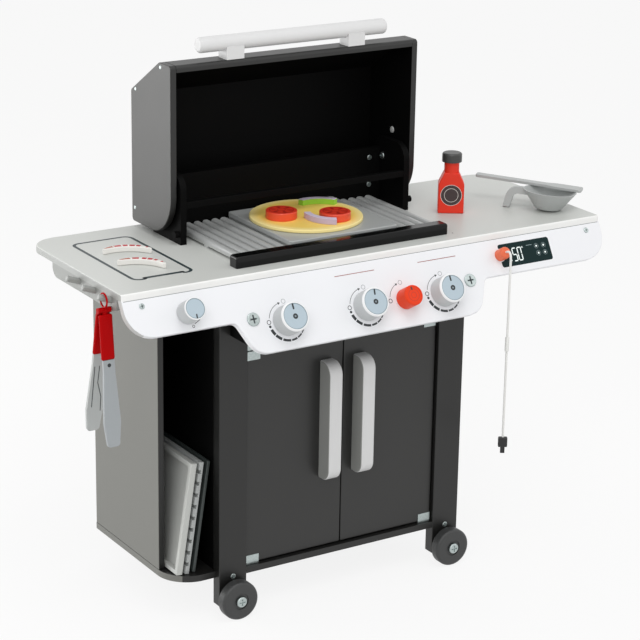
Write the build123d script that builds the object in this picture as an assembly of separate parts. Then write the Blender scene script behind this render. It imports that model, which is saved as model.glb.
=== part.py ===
from build123d import *
import math
import os

# A toy barbecue grill of painted boards: a counter on a two-door cabinet, a hood that swings up,
# a sloped control panel with five knobs, a grate with play food, and loose utensils.
# All sizes are in millimetres. While drafting, X runs right from the counter's left end, Y runs back
# from the counter's front edge and Z runs up from the floor.

# Boards and fits
BOARD = 12.0
THIN_BOARD = 6.0
EDGE_ROUND = 1.5
SHAFT_FIT = 0.05
SEAT_GAP = 0.3

# Counter
COUNTER_WIDTH = 1000.0
COUNTER_DEPTH = 360.0
COUNTER_HEIGHT = 646.0
COUNTER_BACK_CORNER = 48.0
COUNTER_FRONT_CORNER = 5.0
UNDERSIDE = COUNTER_HEIGHT - BOARD

# Control panel, a board that hangs from the counter's front edge with its foot leaning forward
PANEL_TILT = math.radians(30.0)
PANEL_END_DROP = 67.5
PANEL_MIDDLE_DROP = 128.5
PANEL_END_RADIUS = 50.0
PANEL_HOLLOW_RADIUS = 14.0
PANEL_BULGE_RADIUS = 38.0
PANEL_BULGE_WIDTH = 465.8
PANEL_BULGE_RUN = 25.6
PANEL_CENTRE = 457.5
GUSSET_BACK = 33.0
GUSSET_OUTER_DROP = 60.0
GUSSET_INNER_DROP = 115.0
END_SCREW_INSET = 35.0
END_SCREW_DROP = 12.5
CAM_BOLT_SPREAD = 450.7
CAM_BOLT_DROP = 66.9
CAM_BOLT_HEAD = 24.0
CAM_BOLT_RISE = 2.5
CAM_BOLT_SHANK = 8.0
CAM_BOLT_LENGTH = 30.0

# Knobs: radius and length of each barrel, with the radius of its face
BURNER_KNOB = (26.5, 34.0, 23.0)
SIDE_KNOB = (19.5, 33.0, 17.5)
IGNITER_KNOB = (18.5, 31.0, 15.0)
BURNER_PITCH = 162.9
BURNER_DROP = 79.2
SIDE_KNOB_X = 113.5
SIDE_KNOB_DROP = 36.5
IGNITER_OFFSET = 81.5
KNOB_STANDOFF = 0.5
KNOB_RIM_ROUND = 3.0
KNOB_FACE_DEPTH = 0.8
SPINDLE = 8.0
SPINDLE_TAIL = 7.0
RETAINER_WIDTH = 18.0
RETAINER_THICKNESS = 2.0

# Thermometer and its probe
DISPLAY_LEFT = COUNTER_WIDTH - 239.6
DISPLAY_WIDTH = 114.4
DISPLAY_TOP_DROP = 12.0
DISPLAY_HEIGHT = 43.0
DISPLAY_CORNER = 4.5
DISPLAY_THICKNESS = 1.2
DISPLAY_SINK = 1.0
PLUG_DROP = 31.5
PLUG_WIDTH = 22.0
PLUG_LENGTH = 22.0
PLUG_ROUND = 4.0
PLUG_PIN = 5.0
PLUG_PIN_LENGTH = 8.0
SOCKET_WIDTH = 9.0
CORD = 4.2
SLEEVE_WIDTH = 7.5
SLEEVE_LENGTH = 28.0
CONNECTOR_WIDTH = 17.0
CONNECTOR_DEPTH = 9.0
CONNECTOR_LENGTH = 19.0
TIP_WIDTH = 8.0
TIP_DEPTH = 4.5
TIP_LENGTH = 12.0

# Cabinet
CABINET_CENTRE = 464.0
CABINET_WIDTH = 517.0
CABINET_LEFT = CABINET_CENTRE - CABINET_WIDTH / 2
CABINET_RIGHT = CABINET_CENTRE + CABINET_WIDTH / 2
POST_WIDTH = 56.0
POST_DEPTH = 22.0
POST_FRONT = 33.0
POST_FOOT = 20.0
REAR_POST_DEPTH = 12.0
BAY_WIDTH = 85.5
BAY_LEFT = CABINET_LEFT - BAY_WIDTH
BAY_FRONT = 45.0
BAY_CORNER = 60.0
LEFT_PANEL_FRONT = 100.0
CABINET_BACK = 346.0
BASE_TOP = 85.0

# Doors
DOOR_FRONT = 41.0
DOOR_SIDE_GAP = 2.0
DOOR_CENTRE_GAP = 2.0
DOOR_BOTTOM_GAP = 3.0
DOOR_TOP_GAP = 5.0
DOOR_HEIGHT = 400.0
PIVOT_INSET = 9.0
PIVOT_PIN = 5.0
PIN_IN_BOARD = 6.0
PIN_IN_DOOR = 12.0
HINGE_PLATE = 1.2
HINGE_PLATE_WIDTH = 26.0
HINGE_PLATE_HEIGHT = 15.0
HINGE_PLATE_INSET = 1.0
HANDLE_WIDTH = 27.0
HANDLE_DEPTH = 34.0
HANDLE_LENGTH = 224.0
HANDLE_FROM_SEAM = 21.5
HANDLE_BELOW_TOP = 40.0
HANDLE_NOSE = 23.0
CATCH_WIDTH = 40.0
CATCH_DEPTH = 12.0
CATCH_RISE = 12.0
CATCH_LIP = 15.0

# Wheels
WHEEL_RADIUS = 36.0
WHEEL_THICKNESS = 21.0
WHEEL_FRONT = 3.0
WHEEL_BACK_ROUND = 3.0
WHEEL_FRONT_ROUND = 6.0
HUB_RADIUS = 15.0
HUB_SINK = 1.5
AXLE = 8.0
AXLE_HEAD = 20.0
AXLE_HEAD_RISE = 4.0
AXLE_IN_POST = 16.0
SPACER_WIDTH = 16.0

# Peg rail, pegs and tongs
RAIL_FRONT = 15.0
RAIL_BACK = 258.0
RAIL_HEIGHT = 24.0
RAIL_CORNER = 18.0
PEG = 11.0
PEG_LENGTH = 25.0
PEG_RISE = math.radians(20.0)
PEG_IN_RAIL = 8.0
PEG_BELOW_COUNTER = 18.2
PEG_Z = COUNTER_HEIGHT - PEG_BELOW_COUNTER
PEG_PLACES = (37.0, 96.0, 154.5)
PEG_ROUND = 2.0
RING_OUTER = 27.0
RING_WIRE = 3.2
TONGS_X = -13.0
TONGS_WIDTH = 24.0
TONGS_BARREL = 10.0
TONGS_PIN = 4.0
TONGS_THICKNESS = 7.0
TONGS_GRIP_LENGTH = 84.0
TONGS_LENGTH = 234.0
TONGS_ARM_GAP = 0.6
TONGS_WAIST = 105.0
TONGS_BROADEST = 192.0
TONGS_BLADE_WIDTH = 31.0
TONGS_TIP_WIDTH = 22.0
TONGS_FRONT_ANGLE = 5.9
TONGS_BACK_ANGLE = 11.1
TONGS_MIDDLE_KNUCKLE = 7.4
KNUCKLE_GAP = 0.3

# Grill top
HOOD_CENTRE = 465.0
RAIL_BAR_WIDTH = 440.0
RAIL_BAR_CENTRE = 458.0
RAIL_BAR_FRONT = 33.0
RAIL_BAR_DEPTH = 25.0
RAIL_BAR_HEIGHT = 20.5
RAIL_BAR_ROUND = 5.0
SUPPORT_SPREAD = 484.0
SUPPORT_FRONT = 203.0
SUPPORT_BACK = 306.0
SUPPORT_HEIGHT = 126.0
SUPPORT_ROUND = 30.0
CROSSBAR_SIZE = 12.0
CROSSBAR_BASE = 65.0
FIREBOX_BACK_Y = 285.0
FIREBOX_BACK_HEIGHT = 105.0
BATTEN_WIDTH = 38.0
BATTEN_HEIGHT = 100.0
STOP_PEG = 12.0
STOP_PEG_LENGTH = 9.0
STOP_PEG_FROM_FRONT = 8.0
BACK_SCREW_INSET = 23.0
BACK_SCREW_HEIGHTS = (35.0, 87.0)
BACK_SCREW_LENGTH = 18.0

# Hood. Its section is given for the closed hood, as (Y, height above the counter).
LID_PIVOT = (275.0, 90.0)
CHEEK_GAP = 3.5
LID_FRONT = 45.0
LID_FOOT = 25.0
LIP_TOP = 67.0
SLOPE_TOP = (112.5, 172.0)
LID_BACK = 354.0
LID_BACK_RADIUS = 75.0
LID_ROUND = 7.0
BACK_PANEL_FOOT = 121.4
HANDLE_BAR = 28.0
HANDLE_BAR_LENGTH = 388.0
HANDLE_BAR_ROUND = 5.0
HANDLE_BAR_Y = 17.0
HANDLE_BAR_Z = 43.0
STANDOFF_SPREAD = 252.0
STANDOFF_WIDTH = 35.0
STANDOFF_HEIGHT = 30.0
STANDOFF_REACH = 23.0
LID_BOLT = 8.0
LID_BOLT_HEAD = 14.0
LID_BOLT_HEAD_RISE = 3.0
LID_BOLT_IN_CHEEK = 9.0
WASHER_WIDTH = 18.0

# Grate, griddle and food
GRATE_LEFT = 256.0
GRATE_WIDTH = 419.0
GRATE_FRONT = 59.0
GRATE_DEPTH = 224.0
GRATE_BARS = 23
GRATE_BAR_WIDTH = 13.6
GRATE_HEIGHT = 14.3
GRATE_RAIL_HEIGHT = 5.0
GRATE_RAIL_WIDTH = 14.0
GRATE_BAR_ROUND = 5.0
GRIDDLE_LEFT = 363.0
GRIDDLE_WIDTH = 225.0
GRIDDLE_FRONT = 61.0
GRIDDLE_DEPTH = 221.0
GRIDDLE_THICKNESS = 9.2
GRIDDLE_CORNER = 6.0
PIZZA_CENTRE = (466.0, 177.0)
PIZZA_WIDTH = 206.0
PIZZA_THICKNESS = 6.7
TOMATO_WIDTH = 57.0
TOMATO_THICKNESS = 15.0
TOMATO_SPOTS = ((415.0, 178.7), (495.8, 126.8))
PEPPER_THICKNESS = 11.0
PEPPER_CENTRE = (36.0, 5.0)
PEPPER_RADII = (46.0, 58.0)
PEPPER_ANGLES = (28.0, 105.0)
ONION_THICKNESS = 11.0
ONION_CENTRE = (39.0, -37.0)
ONION_RADII = (46.0, 58.0)
ONION_ANGLES = (160.0, 240.0)
CRESCENT_SPOTS = ((116.8, 201.6), (102.0, 121.6))
CRESCENT_LENGTH = 88.5
CRESCENT_DEPTH = 26.0
CRESCENT_HOLLOW = 13.0
CRESCENT_TIP = 7.0
CRESCENT_HEIGHT = 10.0
CRESCENT_ROUND = 2.0
CRESCENT_TURNS = (-24.0, -40.0)

# Bottle, bowl and spatula
VIEW_TURN = 32.5
BOTTLE_SPOT = (COUNTER_WIDTH - 231.0, 154.0)
BOTTLE_WIDTH = 48.0
BOTTLE_SHOULDER_ROUND = 12.0
BOTTLE_DEPTH = 28.0
BOTTLE_SHOULDER = 56.0
BOTTLE_NECK = 28.0
BOTTLE_NECK_BASE = 77.0
BOTTLE_TOP = 97.0
CAP_WIDTH = 37.0
CAP_HEIGHT = 17.0
CAP_ROUND = 4.0
BOWL_SPOT = (COUNTER_WIDTH - 62.0, 76.0)
BOWL_RIM = 100.0
BOWL_BASE = 48.0
BOWL_HEIGHT = 35.0
BOWL_WALL = 2.5
BOWL_ROUND = 8.0
BOWL_TILT = 5.0
STRAP_WIDTH = 12.0
STRAP_THICKNESS = 13.0
STRAP_REACH = 29.0
STRAP_SPLAY = 6.0
STRAP_BEND = 24.0
STRAP_TURN = 134.0
SPATULA_FROM = (COUNTER_WIDTH - 134.0, 208.0)
SPATULA_LENGTH = 205.0
SPATULA_WIDTH = 17.0
SPATULA_THICKNESS = 5.5
SPATULA_BLADE = 70.0
SPATULA_BLADE_WIDTH = 26.0
SPATULA_SHOULDER = 20.0
SPATULA_TURN = -49.6
SPATULA_PITCH = 3.2
SPATULA_REST = 44.35

# Spare cooking plates, which lean in the open left bay
SPARE_FRONT = 60.0
SPARE_DEPTH = 222.0
SPARE_HEIGHT = 209.0
SPARE_LEAN = 8.4
SPARE_FEET = (BAY_LEFT + 25.5, BAY_LEFT + 38.5, BAY_LEFT + 52.0)
SPARE_THICKNESSES = (12.0, 8.0, 6.0)
SPARE_RIM = 8.0
SPARE_FLOOR = 3.0
SPARE_RIBS = 10
SPARE_RIB = 14.5

# The probe's cord leaves the plug square to its face, turns down in three equal steps and hangs
# straight under the weight of its connector.
CORD_STEP = 7.0
CORD_ELEVATIONS = (30.0, -10.0, -50.0)
CORD_DRIFT = 2.5
SLEEVE_TOP = 462.0
SLEEVE_BOTTOM = SLEEVE_TOP - SLEEVE_LENGTH
CONNECTOR_TOP = 267.0

# Small screws
SCREW_HEAD = 10.0
SCREW_RISE = 1.8
SCREW_SHANK = 4.0
SCREW_LENGTH = 22.0
POST_SCREW_HEIGHT = 74.0


def block(x0, x1, y0, y1, z0, z1):
    """A board between the given limits."""
    return Pos(x0, y0, z0) * Box(x1 - x0, y1 - y0, z1 - z0, align=(Align.MIN, Align.MIN, Align.MIN))


def outline(points, corners=None):
    """A flat face through the points; corners gives a radius for each numbered point."""
    face = Face(Wire(Polyline(*points, close=True).edges()))
    for number, radius in (corners or {}).items():
        spot = Vector(*points[number])
        corner = min(face.vertices(), key=lambda vertex: (Vector(*vertex) - spot).length)
        face = face.fillet_2d(radius, [corner])
    return face


def slab_x(points, x0, x1, corners=None):
    """A board with a (Y, Z) outline, from x0 to x1."""
    return Pos(x0, 0, 0) * extrude(Plane.YZ * outline(points, corners), amount=x1 - x0, dir=(1, 0, 0))


def slab_y(points, y0, y1, corners=None):
    """A board with an (X, Z) outline, from y0 to y1."""
    return Pos(0, y0, 0) * extrude(Plane.XZ * outline(points, corners), amount=y1 - y0, dir=(0, 1, 0))


def slab_z(points, z0, z1, corners=None):
    """A board with an (X, Y) outline, from z0 to z1."""
    return Pos(0, 0, z0) * extrude(outline(points, corners), amount=z1 - z0, dir=(0, 0, 1))


def turned(profile, corners=None):
    """A solid of revolution about Z, from (radius, height) points."""
    return revolve(Plane.XZ * outline(profile, corners), axis=Axis.Z)


def tube(outer, inner, length):
    """A ring along Z that stands on zero."""
    return turned([(inner / 2, 0), (outer / 2, 0), (outer / 2, length), (inner / 2, length)])


def rod(diameter, length):
    """A round bar along Z that stands on zero."""
    return Cylinder(diameter / 2, length, align=(Align.CENTER, Align.CENTER, Align.MIN))


def soften(board, radius=EDGE_ROUND):
    """A board with all its edges slightly rounded, as a sanded and painted one has."""
    return fillet(board.edges(), radius)


def drilled(board, *pieces):
    """A board with the room for each piece cut out of it."""
    for piece in pieces:
        board = board - piece
    return board


def facing_front(x, y, z):
    """A place on a front surface: its Z axis points out of the surface, towards the user."""
    return Plane(origin=(x, y, z), x_dir=(1, 0, 0), z_dir=(0, -1, 0))


def screw(head, rise, shank, length):
    """A cross-recess screw along Z, with the underside of its head at zero."""
    profile = [(0, -length), (shank / 2, -length), (shank / 2, 0), (head / 2, 0), (head / 2, rise), (0, rise)]
    body = turned(profile, {4: 0.6 * rise})
    for turn in (0, 90):
        body = body - Pos(0, 0, rise) * Rot(0, 0, turn) * Box(0.6 * head, 0.13 * head, rise)
    return body


# Places on the control panel
PANEL = Plane(
    origin=(0, 0, UNDERSIDE),
    x_dir=(1, 0, 0),
    z_dir=(0, -math.cos(PANEL_TILT), math.sin(PANEL_TILT)),
)


def on_panel(x, drop, lift=0.0):
    """A place on the panel's face: drop runs down its slope, lift stands out of it."""
    return PANEL * Pos(x, -drop, lift)


def behind_panel(drop):
    """The (Y, Z) point on the panel's back at a drop down its slope."""
    y = BOARD * math.cos(PANEL_TILT) - drop * math.sin(PANEL_TILT)
    z = UNDERSIDE - BOARD * math.sin(PANEL_TILT) - drop * math.cos(PANEL_TILT)
    return (y, z)


def panel_screws():
    """Small screws near both ends of the panel, into the outer gussets."""
    places = (END_SCREW_INSET, COUNTER_WIDTH - END_SCREW_INSET)
    small = screw(SCREW_HEAD, SCREW_RISE, SCREW_SHANK, SCREW_LENGTH)
    return [on_panel(x, END_SCREW_DROP) * small for x in places]


def cam_bolts():
    """Large cross-head bolts that hold the panel to the two inner gussets."""
    bolt = screw(CAM_BOLT_HEAD, CAM_BOLT_RISE, CAM_BOLT_SHANK, CAM_BOLT_LENGTH)
    return [
        on_panel(PANEL_CENTRE + side * CAM_BOLT_SPREAD / 2, CAM_BOLT_DROP) * bolt for side in (-1, 1)
    ]


KNOBS = {
    "side_knob": (SIDE_KNOB_X, SIDE_KNOB_DROP, SIDE_KNOB),
    "burner_knob_left": (PANEL_CENTRE - BURNER_PITCH, BURNER_DROP, BURNER_KNOB),
    "burner_knob_middle": (PANEL_CENTRE, BURNER_DROP, BURNER_KNOB),
    "burner_knob_right": (PANEL_CENTRE + BURNER_PITCH, BURNER_DROP, BURNER_KNOB),
    "igniter_knob": (PANEL_CENTRE + IGNITER_OFFSET, BURNER_DROP, IGNITER_KNOB),
}


def knob(x, drop, size):
    """A barrel with a sunk face, in one piece with its spindle, and the ring that keeps it in."""
    radius, length, face_radius = size
    profile = [
        (0, -BOARD - SPINDLE_TAIL),
        (SPINDLE / 2, -BOARD - SPINDLE_TAIL),
        (SPINDLE / 2, KNOB_STANDOFF),
        (radius, KNOB_STANDOFF),
        (radius, length),
        (face_radius, length),
        (face_radius, length - KNOB_FACE_DEPTH),
        (0, length - KNOB_FACE_DEPTH),
    ]
    rim = min(KNOB_RIM_ROUND, 0.9 * (radius - face_radius))
    retainer = tube(RETAINER_WIDTH, SPINDLE, RETAINER_THICKNESS)
    behind = -BOARD - KNOB_STANDOFF - RETAINER_THICKNESS
    return [on_panel(x, drop) * turned(profile, {4: rim}), on_panel(x, drop, behind) * retainer]


def display_plate():
    """The dark window of the thermometer, glued into a shallow pocket."""
    bottom_drop = DISPLAY_TOP_DROP + DISPLAY_HEIGHT
    right = DISPLAY_LEFT + DISPLAY_WIDTH
    corners = [
        (DISPLAY_LEFT, -bottom_drop),
        (right, -bottom_drop),
        (right, -DISPLAY_TOP_DROP),
        (DISPLAY_LEFT, -DISPLAY_TOP_DROP),
    ]
    rounds = {number: DISPLAY_CORNER for number in range(4)}
    plate = slab_z(corners, -DISPLAY_SINK, DISPLAY_THICKNESS - DISPLAY_SINK, rounds)
    room_for_plug = Pos(DISPLAY_LEFT, -PLUG_DROP, 0) * Cylinder(PLUG_WIDTH / 2 + 1.5, 2 * BOARD)
    return PANEL.location * (plate - room_for_plug)


def probe_socket():
    """The sleeve in the panel that takes the probe's pin."""
    sleeve = tube(SOCKET_WIDTH, PLUG_PIN + 2 * SHAFT_FIT, BOARD)
    return on_panel(DISPLAY_LEFT, PLUG_DROP, -BOARD) * sleeve


def probe_plug():
    """A round plug that stands on the panel, with its pin in the socket."""
    profile = [
        (0, -PLUG_PIN_LENGTH),
        (PLUG_PIN / 2, -PLUG_PIN_LENGTH),
        (PLUG_PIN / 2, SEAT_GAP),
        (PLUG_WIDTH / 2, SEAT_GAP),
        (PLUG_WIDTH / 2, PLUG_LENGTH),
        (0, PLUG_LENGTH),
    ]
    return on_panel(DISPLAY_LEFT, PLUG_DROP) * turned(profile, {4: PLUG_ROUND})


def control_panel():
    """The white front board: shallow at both ends, with a deep bulge below the burner knobs."""
    left = PANEL_CENTRE - PANEL_BULGE_WIDTH / 2
    right = PANEL_CENTRE + PANEL_BULGE_WIDTH / 2
    points = [
        (0, BOARD),
        (0, -PANEL_END_DROP),
        (left - PANEL_BULGE_RUN, -PANEL_END_DROP),
        (left, -PANEL_MIDDLE_DROP),
        (right, -PANEL_MIDDLE_DROP),
        (right + PANEL_BULGE_RUN, -PANEL_END_DROP),
        (COUNTER_WIDTH, -PANEL_END_DROP),
        (COUNTER_WIDTH, BOARD),
    ]
    rounds = {
        1: PANEL_END_RADIUS,
        2: PANEL_HOLLOW_RADIUS,
        3: PANEL_BULGE_RADIUS,
        4: PANEL_BULGE_RADIUS,
        5: PANEL_HOLLOW_RADIUS,
        6: PANEL_END_RADIUS,
    }
    board = extrude(PANEL * outline(points, rounds), amount=BOARD, dir=-PANEL.z_dir)
    board = soften(board)
    board = split(board, bisect_by=Plane.XY.offset(UNDERSIDE), keep=Keep.BOTTOM)
    spindle_hole = Pos(0, 0, -1.5 * BOARD) * rod(SPINDLE + 2 * SHAFT_FIT, 2 * BOARD)
    holes = [on_panel(x, drop) * spindle_hole for x, drop, size in KNOBS.values()]
    socket_hole = on_panel(DISPLAY_LEFT, PLUG_DROP, -1.5 * BOARD) * rod(SOCKET_WIDTH, 2 * BOARD)
    return drilled(board, *holes, socket_hole, display_plate(), *panel_screws(), *cam_bolts())


def panel_gussets():
    """Four hidden brackets between the panel's back, the counter and the posts."""
    spots = (
        (END_SCREW_INSET, GUSSET_OUTER_DROP),
        (PANEL_CENTRE - CAM_BOLT_SPREAD / 2, GUSSET_INNER_DROP),
        (PANEL_CENTRE + CAM_BOLT_SPREAD / 2, GUSSET_INNER_DROP),
        (COUNTER_WIDTH - END_SCREW_INSET, GUSSET_OUTER_DROP),
    )
    top_y = BOARD / math.cos(PANEL_TILT)
    gussets = []
    for x, drop in spots:
        foot = behind_panel(drop)
        points = [(top_y, UNDERSIDE), foot, (GUSSET_BACK, foot[1]), (GUSSET_BACK, UNDERSIDE)]
        gusset = slab_x(points, x - BOARD / 2, x + BOARD / 2)
        gussets.append(drilled(gusset, *panel_screws(), *cam_bolts()))
    return gussets


def counter():
    """The top board, with large rounded corners at the back."""
    points = [(0, 0), (COUNTER_WIDTH, 0), (COUNTER_WIDTH, COUNTER_DEPTH), (0, COUNTER_DEPTH)]
    rounds = {
        0: COUNTER_FRONT_CORNER,
        1: COUNTER_FRONT_CORNER,
        2: COUNTER_BACK_CORNER,
        3: COUNTER_BACK_CORNER,
    }
    board = slab_z(points, UNDERSIDE, COUNTER_HEIGHT, rounds)
    return fillet(board.edges().group_by(Axis.Z)[-1], 2 * EDGE_ROUND)


# Places in the cabinet
POST_BACK = POST_FRONT + POST_DEPTH
DOOR_BACK = DOOR_FRONT + BOARD
PIVOT_Y = DOOR_FRONT + BOARD / 2
DOOR_BOTTOM = BASE_TOP + DOOR_BOTTOM_GAP
DOOR_TOP = DOOR_BOTTOM + DOOR_HEIGHT
HEADER_BOTTOM = DOOR_TOP + DOOR_TOP_GAP
SIDES = {"left": -1, "right": 1}


def base_board():
    """The cabinet's floor, notched for the front posts and rounded at its open bay."""
    inner_left = CABINET_LEFT + POST_WIDTH
    inner_right = CABINET_RIGHT - POST_WIDTH
    points = [
        (BAY_LEFT, CABINET_BACK),
        (BAY_LEFT, BAY_FRONT),
        (CABINET_LEFT, BAY_FRONT),
        (CABINET_LEFT, POST_BACK),
        (inner_left, POST_BACK),
        (inner_left, POST_FRONT),
        (inner_right, POST_FRONT),
        (inner_right, POST_BACK),
        (CABINET_RIGHT, POST_BACK),
        (CABINET_RIGHT, CABINET_BACK),
    ]
    board = slab_z(points, BASE_TOP - BOARD, BASE_TOP, {1: BAY_CORNER})
    return drilled(board, *door_pins())


def side_panels():
    """The left side panel, the divider behind the left post and the right side panel."""
    heights = (BASE_TOP, UNDERSIDE)
    left = block(BAY_LEFT, BAY_LEFT + BOARD, LEFT_PANEL_FRONT, CABINET_BACK, *heights)
    divider_back = CABINET_BACK - THIN_BOARD
    divider = block(CABINET_LEFT, CABINET_LEFT + BOARD, POST_BACK, divider_back, *heights)
    right = block(CABINET_RIGHT - BOARD, CABINET_RIGHT, POST_BACK, CABINET_BACK, *heights)
    return [soften(left), divider, soften(right)]


def back_panel():
    """The thin board that closes the cabinet at the back."""
    return block(
        BAY_LEFT + BOARD, CABINET_RIGHT - BOARD, CABINET_BACK - THIN_BOARD, CABINET_BACK, BASE_TOP, UNDERSIDE
    )


def post_x(side):
    """The middle of a post: side is -1 for the left one, 1 for the right one."""
    return CABINET_CENTRE + side * (CABINET_WIDTH - POST_WIDTH) / 2


def post_screws():
    """A screw through each front post into the base board."""
    small = screw(SCREW_HEAD, SCREW_RISE, SCREW_SHANK, SCREW_LENGTH)
    return [facing_front(post_x(side), POST_FRONT, POST_SCREW_HEIGHT).location * small for side in (-1, 1)]


def front_posts():
    """Two solid posts, from the counter down to just above the floor."""
    posts = []
    for side in (-1, 1):
        x = post_x(side)
        post = block(x - POST_WIDTH / 2, x + POST_WIDTH / 2, POST_FRONT, POST_BACK, POST_FOOT, UNDERSIDE)
        posts.append(drilled(soften(post), *post_screws(), *wheel_axles()))
    return posts


def rear_posts():
    """Two boards behind the cabinet that stand on the floor."""
    posts = []
    for side in (-1, 1):
        x = post_x(side)
        left, right = x - POST_WIDTH / 2, x + POST_WIDTH / 2
        posts.append(soften(block(left, right, CABINET_BACK, CABINET_BACK + REAR_POST_DEPTH, 0, UNDERSIDE)))
    return posts


def wheel_axles():
    """Bolts along Y through the wheels and spacers into the posts."""
    length = POST_FRONT - WHEEL_FRONT + AXLE_IN_POST
    bolt = screw(AXLE_HEAD, AXLE_HEAD_RISE, AXLE, length)
    head_y = WHEEL_FRONT - SEAT_GAP
    return [facing_front(post_x(side), head_y, WHEEL_RADIUS).location * bolt for side in (-1, 1)]


def axle_spacers():
    """Rings between the wheels and the posts."""
    length = POST_FRONT - WHEEL_FRONT - WHEEL_THICKNESS - SEAT_GAP
    ring = tube(SPACER_WIDTH, AXLE, length)
    return [facing_front(post_x(side), POST_FRONT, WHEEL_RADIUS).location * ring for side in (-1, 1)]


def wheel(side):
    """A round-edged disc wheel with a sunk hub on its front."""
    inner = AXLE / 2 + SHAFT_FIT
    profile = [
        (inner, 0),
        (WHEEL_RADIUS, 0),
        (WHEEL_RADIUS, WHEEL_THICKNESS),
        (HUB_RADIUS, WHEEL_THICKNESS),
        (HUB_RADIUS, WHEEL_THICKNESS - HUB_SINK),
        (inner, WHEEL_THICKNESS - HUB_SINK),
    ]
    body = turned(profile, {1: WHEEL_BACK_ROUND, 2: WHEEL_FRONT_ROUND})
    return facing_front(post_x(side), WHEEL_FRONT + WHEEL_THICKNESS, WHEEL_RADIUS).location * body


def door_header():
    """The board between the posts above the doors."""
    left = CABINET_LEFT + POST_WIDTH
    right = CABINET_RIGHT - POST_WIDTH
    return drilled(block(left, right, DOOR_FRONT, DOOR_BACK, HEADER_BOTTOM, UNDERSIDE), *door_pins())


def door_edge(side):
    """The outer edge of a door, next to its post."""
    return CABINET_CENTRE + side * (CABINET_WIDTH / 2 - POST_WIDTH - DOOR_SIDE_GAP)


def pivot_x(side):
    """The line about which a door turns."""
    return door_edge(side) - side * PIVOT_INSET


def door_pins():
    """Short pins, down into the base board and up into the header, that the doors turn on."""
    low = BASE_TOP - PIN_IN_BOARD
    high = DOOR_TOP - PIN_IN_DOOR
    pins = []
    for side in (-1, 1):
        pins.append(Pos(pivot_x(side), PIVOT_Y, low) * rod(PIVOT_PIN, DOOR_BOTTOM + PIN_IN_DOOR - low))
        pins.append(Pos(pivot_x(side), PIVOT_Y, high) * rod(PIVOT_PIN, HEADER_BOTTOM + PIN_IN_BOARD - high))
    return pins


def plate_span(side):
    """The two X limits of the hinge plates on one side."""
    outer = door_edge(side) - side * HINGE_PLATE_INSET
    inner = outer - side * HINGE_PLATE_WIDTH
    return min(outer, inner), max(outer, inner)


def fixed_hinge_plates():
    """Pressed plates on the base board and, folded over its edge, on the header."""
    face = DOOR_FRONT - HINGE_PLATE
    angle = [
        (face, HEADER_BOTTOM - HINGE_PLATE),
        (DOOR_BACK, HEADER_BOTTOM - HINGE_PLATE),
        (DOOR_BACK, HEADER_BOTTOM),
        (DOOR_FRONT, HEADER_BOTTOM),
        (DOOR_FRONT, HEADER_BOTTOM + HINGE_PLATE_HEIGHT),
        (face, HEADER_BOTTOM + HINGE_PLATE_HEIGHT),
    ]
    plates = []
    for side in (-1, 1):
        left, right = plate_span(side)
        low = block(left, right, DOOR_FRONT, DOOR_BACK, BASE_TOP, BASE_TOP + HINGE_PLATE)
        plates.append(drilled(low, *door_pins()))
        plates.append(drilled(slab_x(angle, left, right), *door_pins()))
    return plates


def pin_rooms():
    """Running room for the pins in the doors and their plates."""
    rooms = []
    for side in (-1, 1):
        wide = PIVOT_PIN + 2 * SHAFT_FIT
        low = DOOR_BOTTOM - 2 * HINGE_PLATE
        length = PIN_IN_DOOR + 2 * HINGE_PLATE + SEAT_GAP
        high = DOOR_TOP - PIN_IN_DOOR - SEAT_GAP
        rooms.append(Pos(pivot_x(side), PIVOT_Y, low) * rod(wide, length))
        rooms.append(Pos(pivot_x(side), PIVOT_Y, high) * rod(wide, length))
    return rooms


def door_hinge_plates(side):
    """Two pressed plates, folded over the bottom and top edges of a door at its outer corners."""
    face = DOOR_FRONT - HINGE_PLATE
    left, right = plate_span(side)
    back = DOOR_BACK - EDGE_ROUND
    plates = []
    for edge, up in ((DOOR_BOTTOM, 1), (DOOR_TOP, -1)):
        angle = [
            (face, edge - up * HINGE_PLATE),
            (back, edge - up * HINGE_PLATE),
            (back, edge),
            (DOOR_FRONT, edge),
            (DOOR_FRONT, edge + up * HINGE_PLATE_HEIGHT),
            (face, edge + up * HINGE_PLATE_HEIGHT),
        ]
        plates.append(drilled(slab_x(angle, left, right), *pin_rooms()))
    return plates


def door(side):
    """A flat door with softened edges."""
    outer = door_edge(side)
    inner = CABINET_CENTRE + side * DOOR_CENTRE_GAP / 2
    board = block(min(outer, inner), max(outer, inner), DOOR_FRONT, DOOR_BACK, DOOR_BOTTOM, DOOR_TOP)
    return drilled(soften(board), *pin_rooms())


def door_handle(side):
    """A solid block with its front ends rounded over."""
    near = CABINET_CENTRE + side * HANDLE_FROM_SEAM
    far = near + side * HANDLE_WIDTH
    top = DOOR_TOP - HANDLE_BELOW_TOP
    nose = DOOR_FRONT - HANDLE_DEPTH
    points = [
        (DOOR_FRONT, top - HANDLE_LENGTH),
        (DOOR_FRONT, top),
        (nose, top),
        (nose, top - HANDLE_LENGTH),
    ]
    bar = slab_x(points, min(near, far), max(near, far), {2: HANDLE_NOSE, 3: HANDLE_NOSE})
    front_edges = [edge for edge in bar.edges() if edge.bounding_box().max.Y < DOOR_FRONT - 0.01]
    return fillet([edge for edge in front_edges if edge.bounding_box().size.X < 0.01], 2 * EDGE_ROUND)


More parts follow.
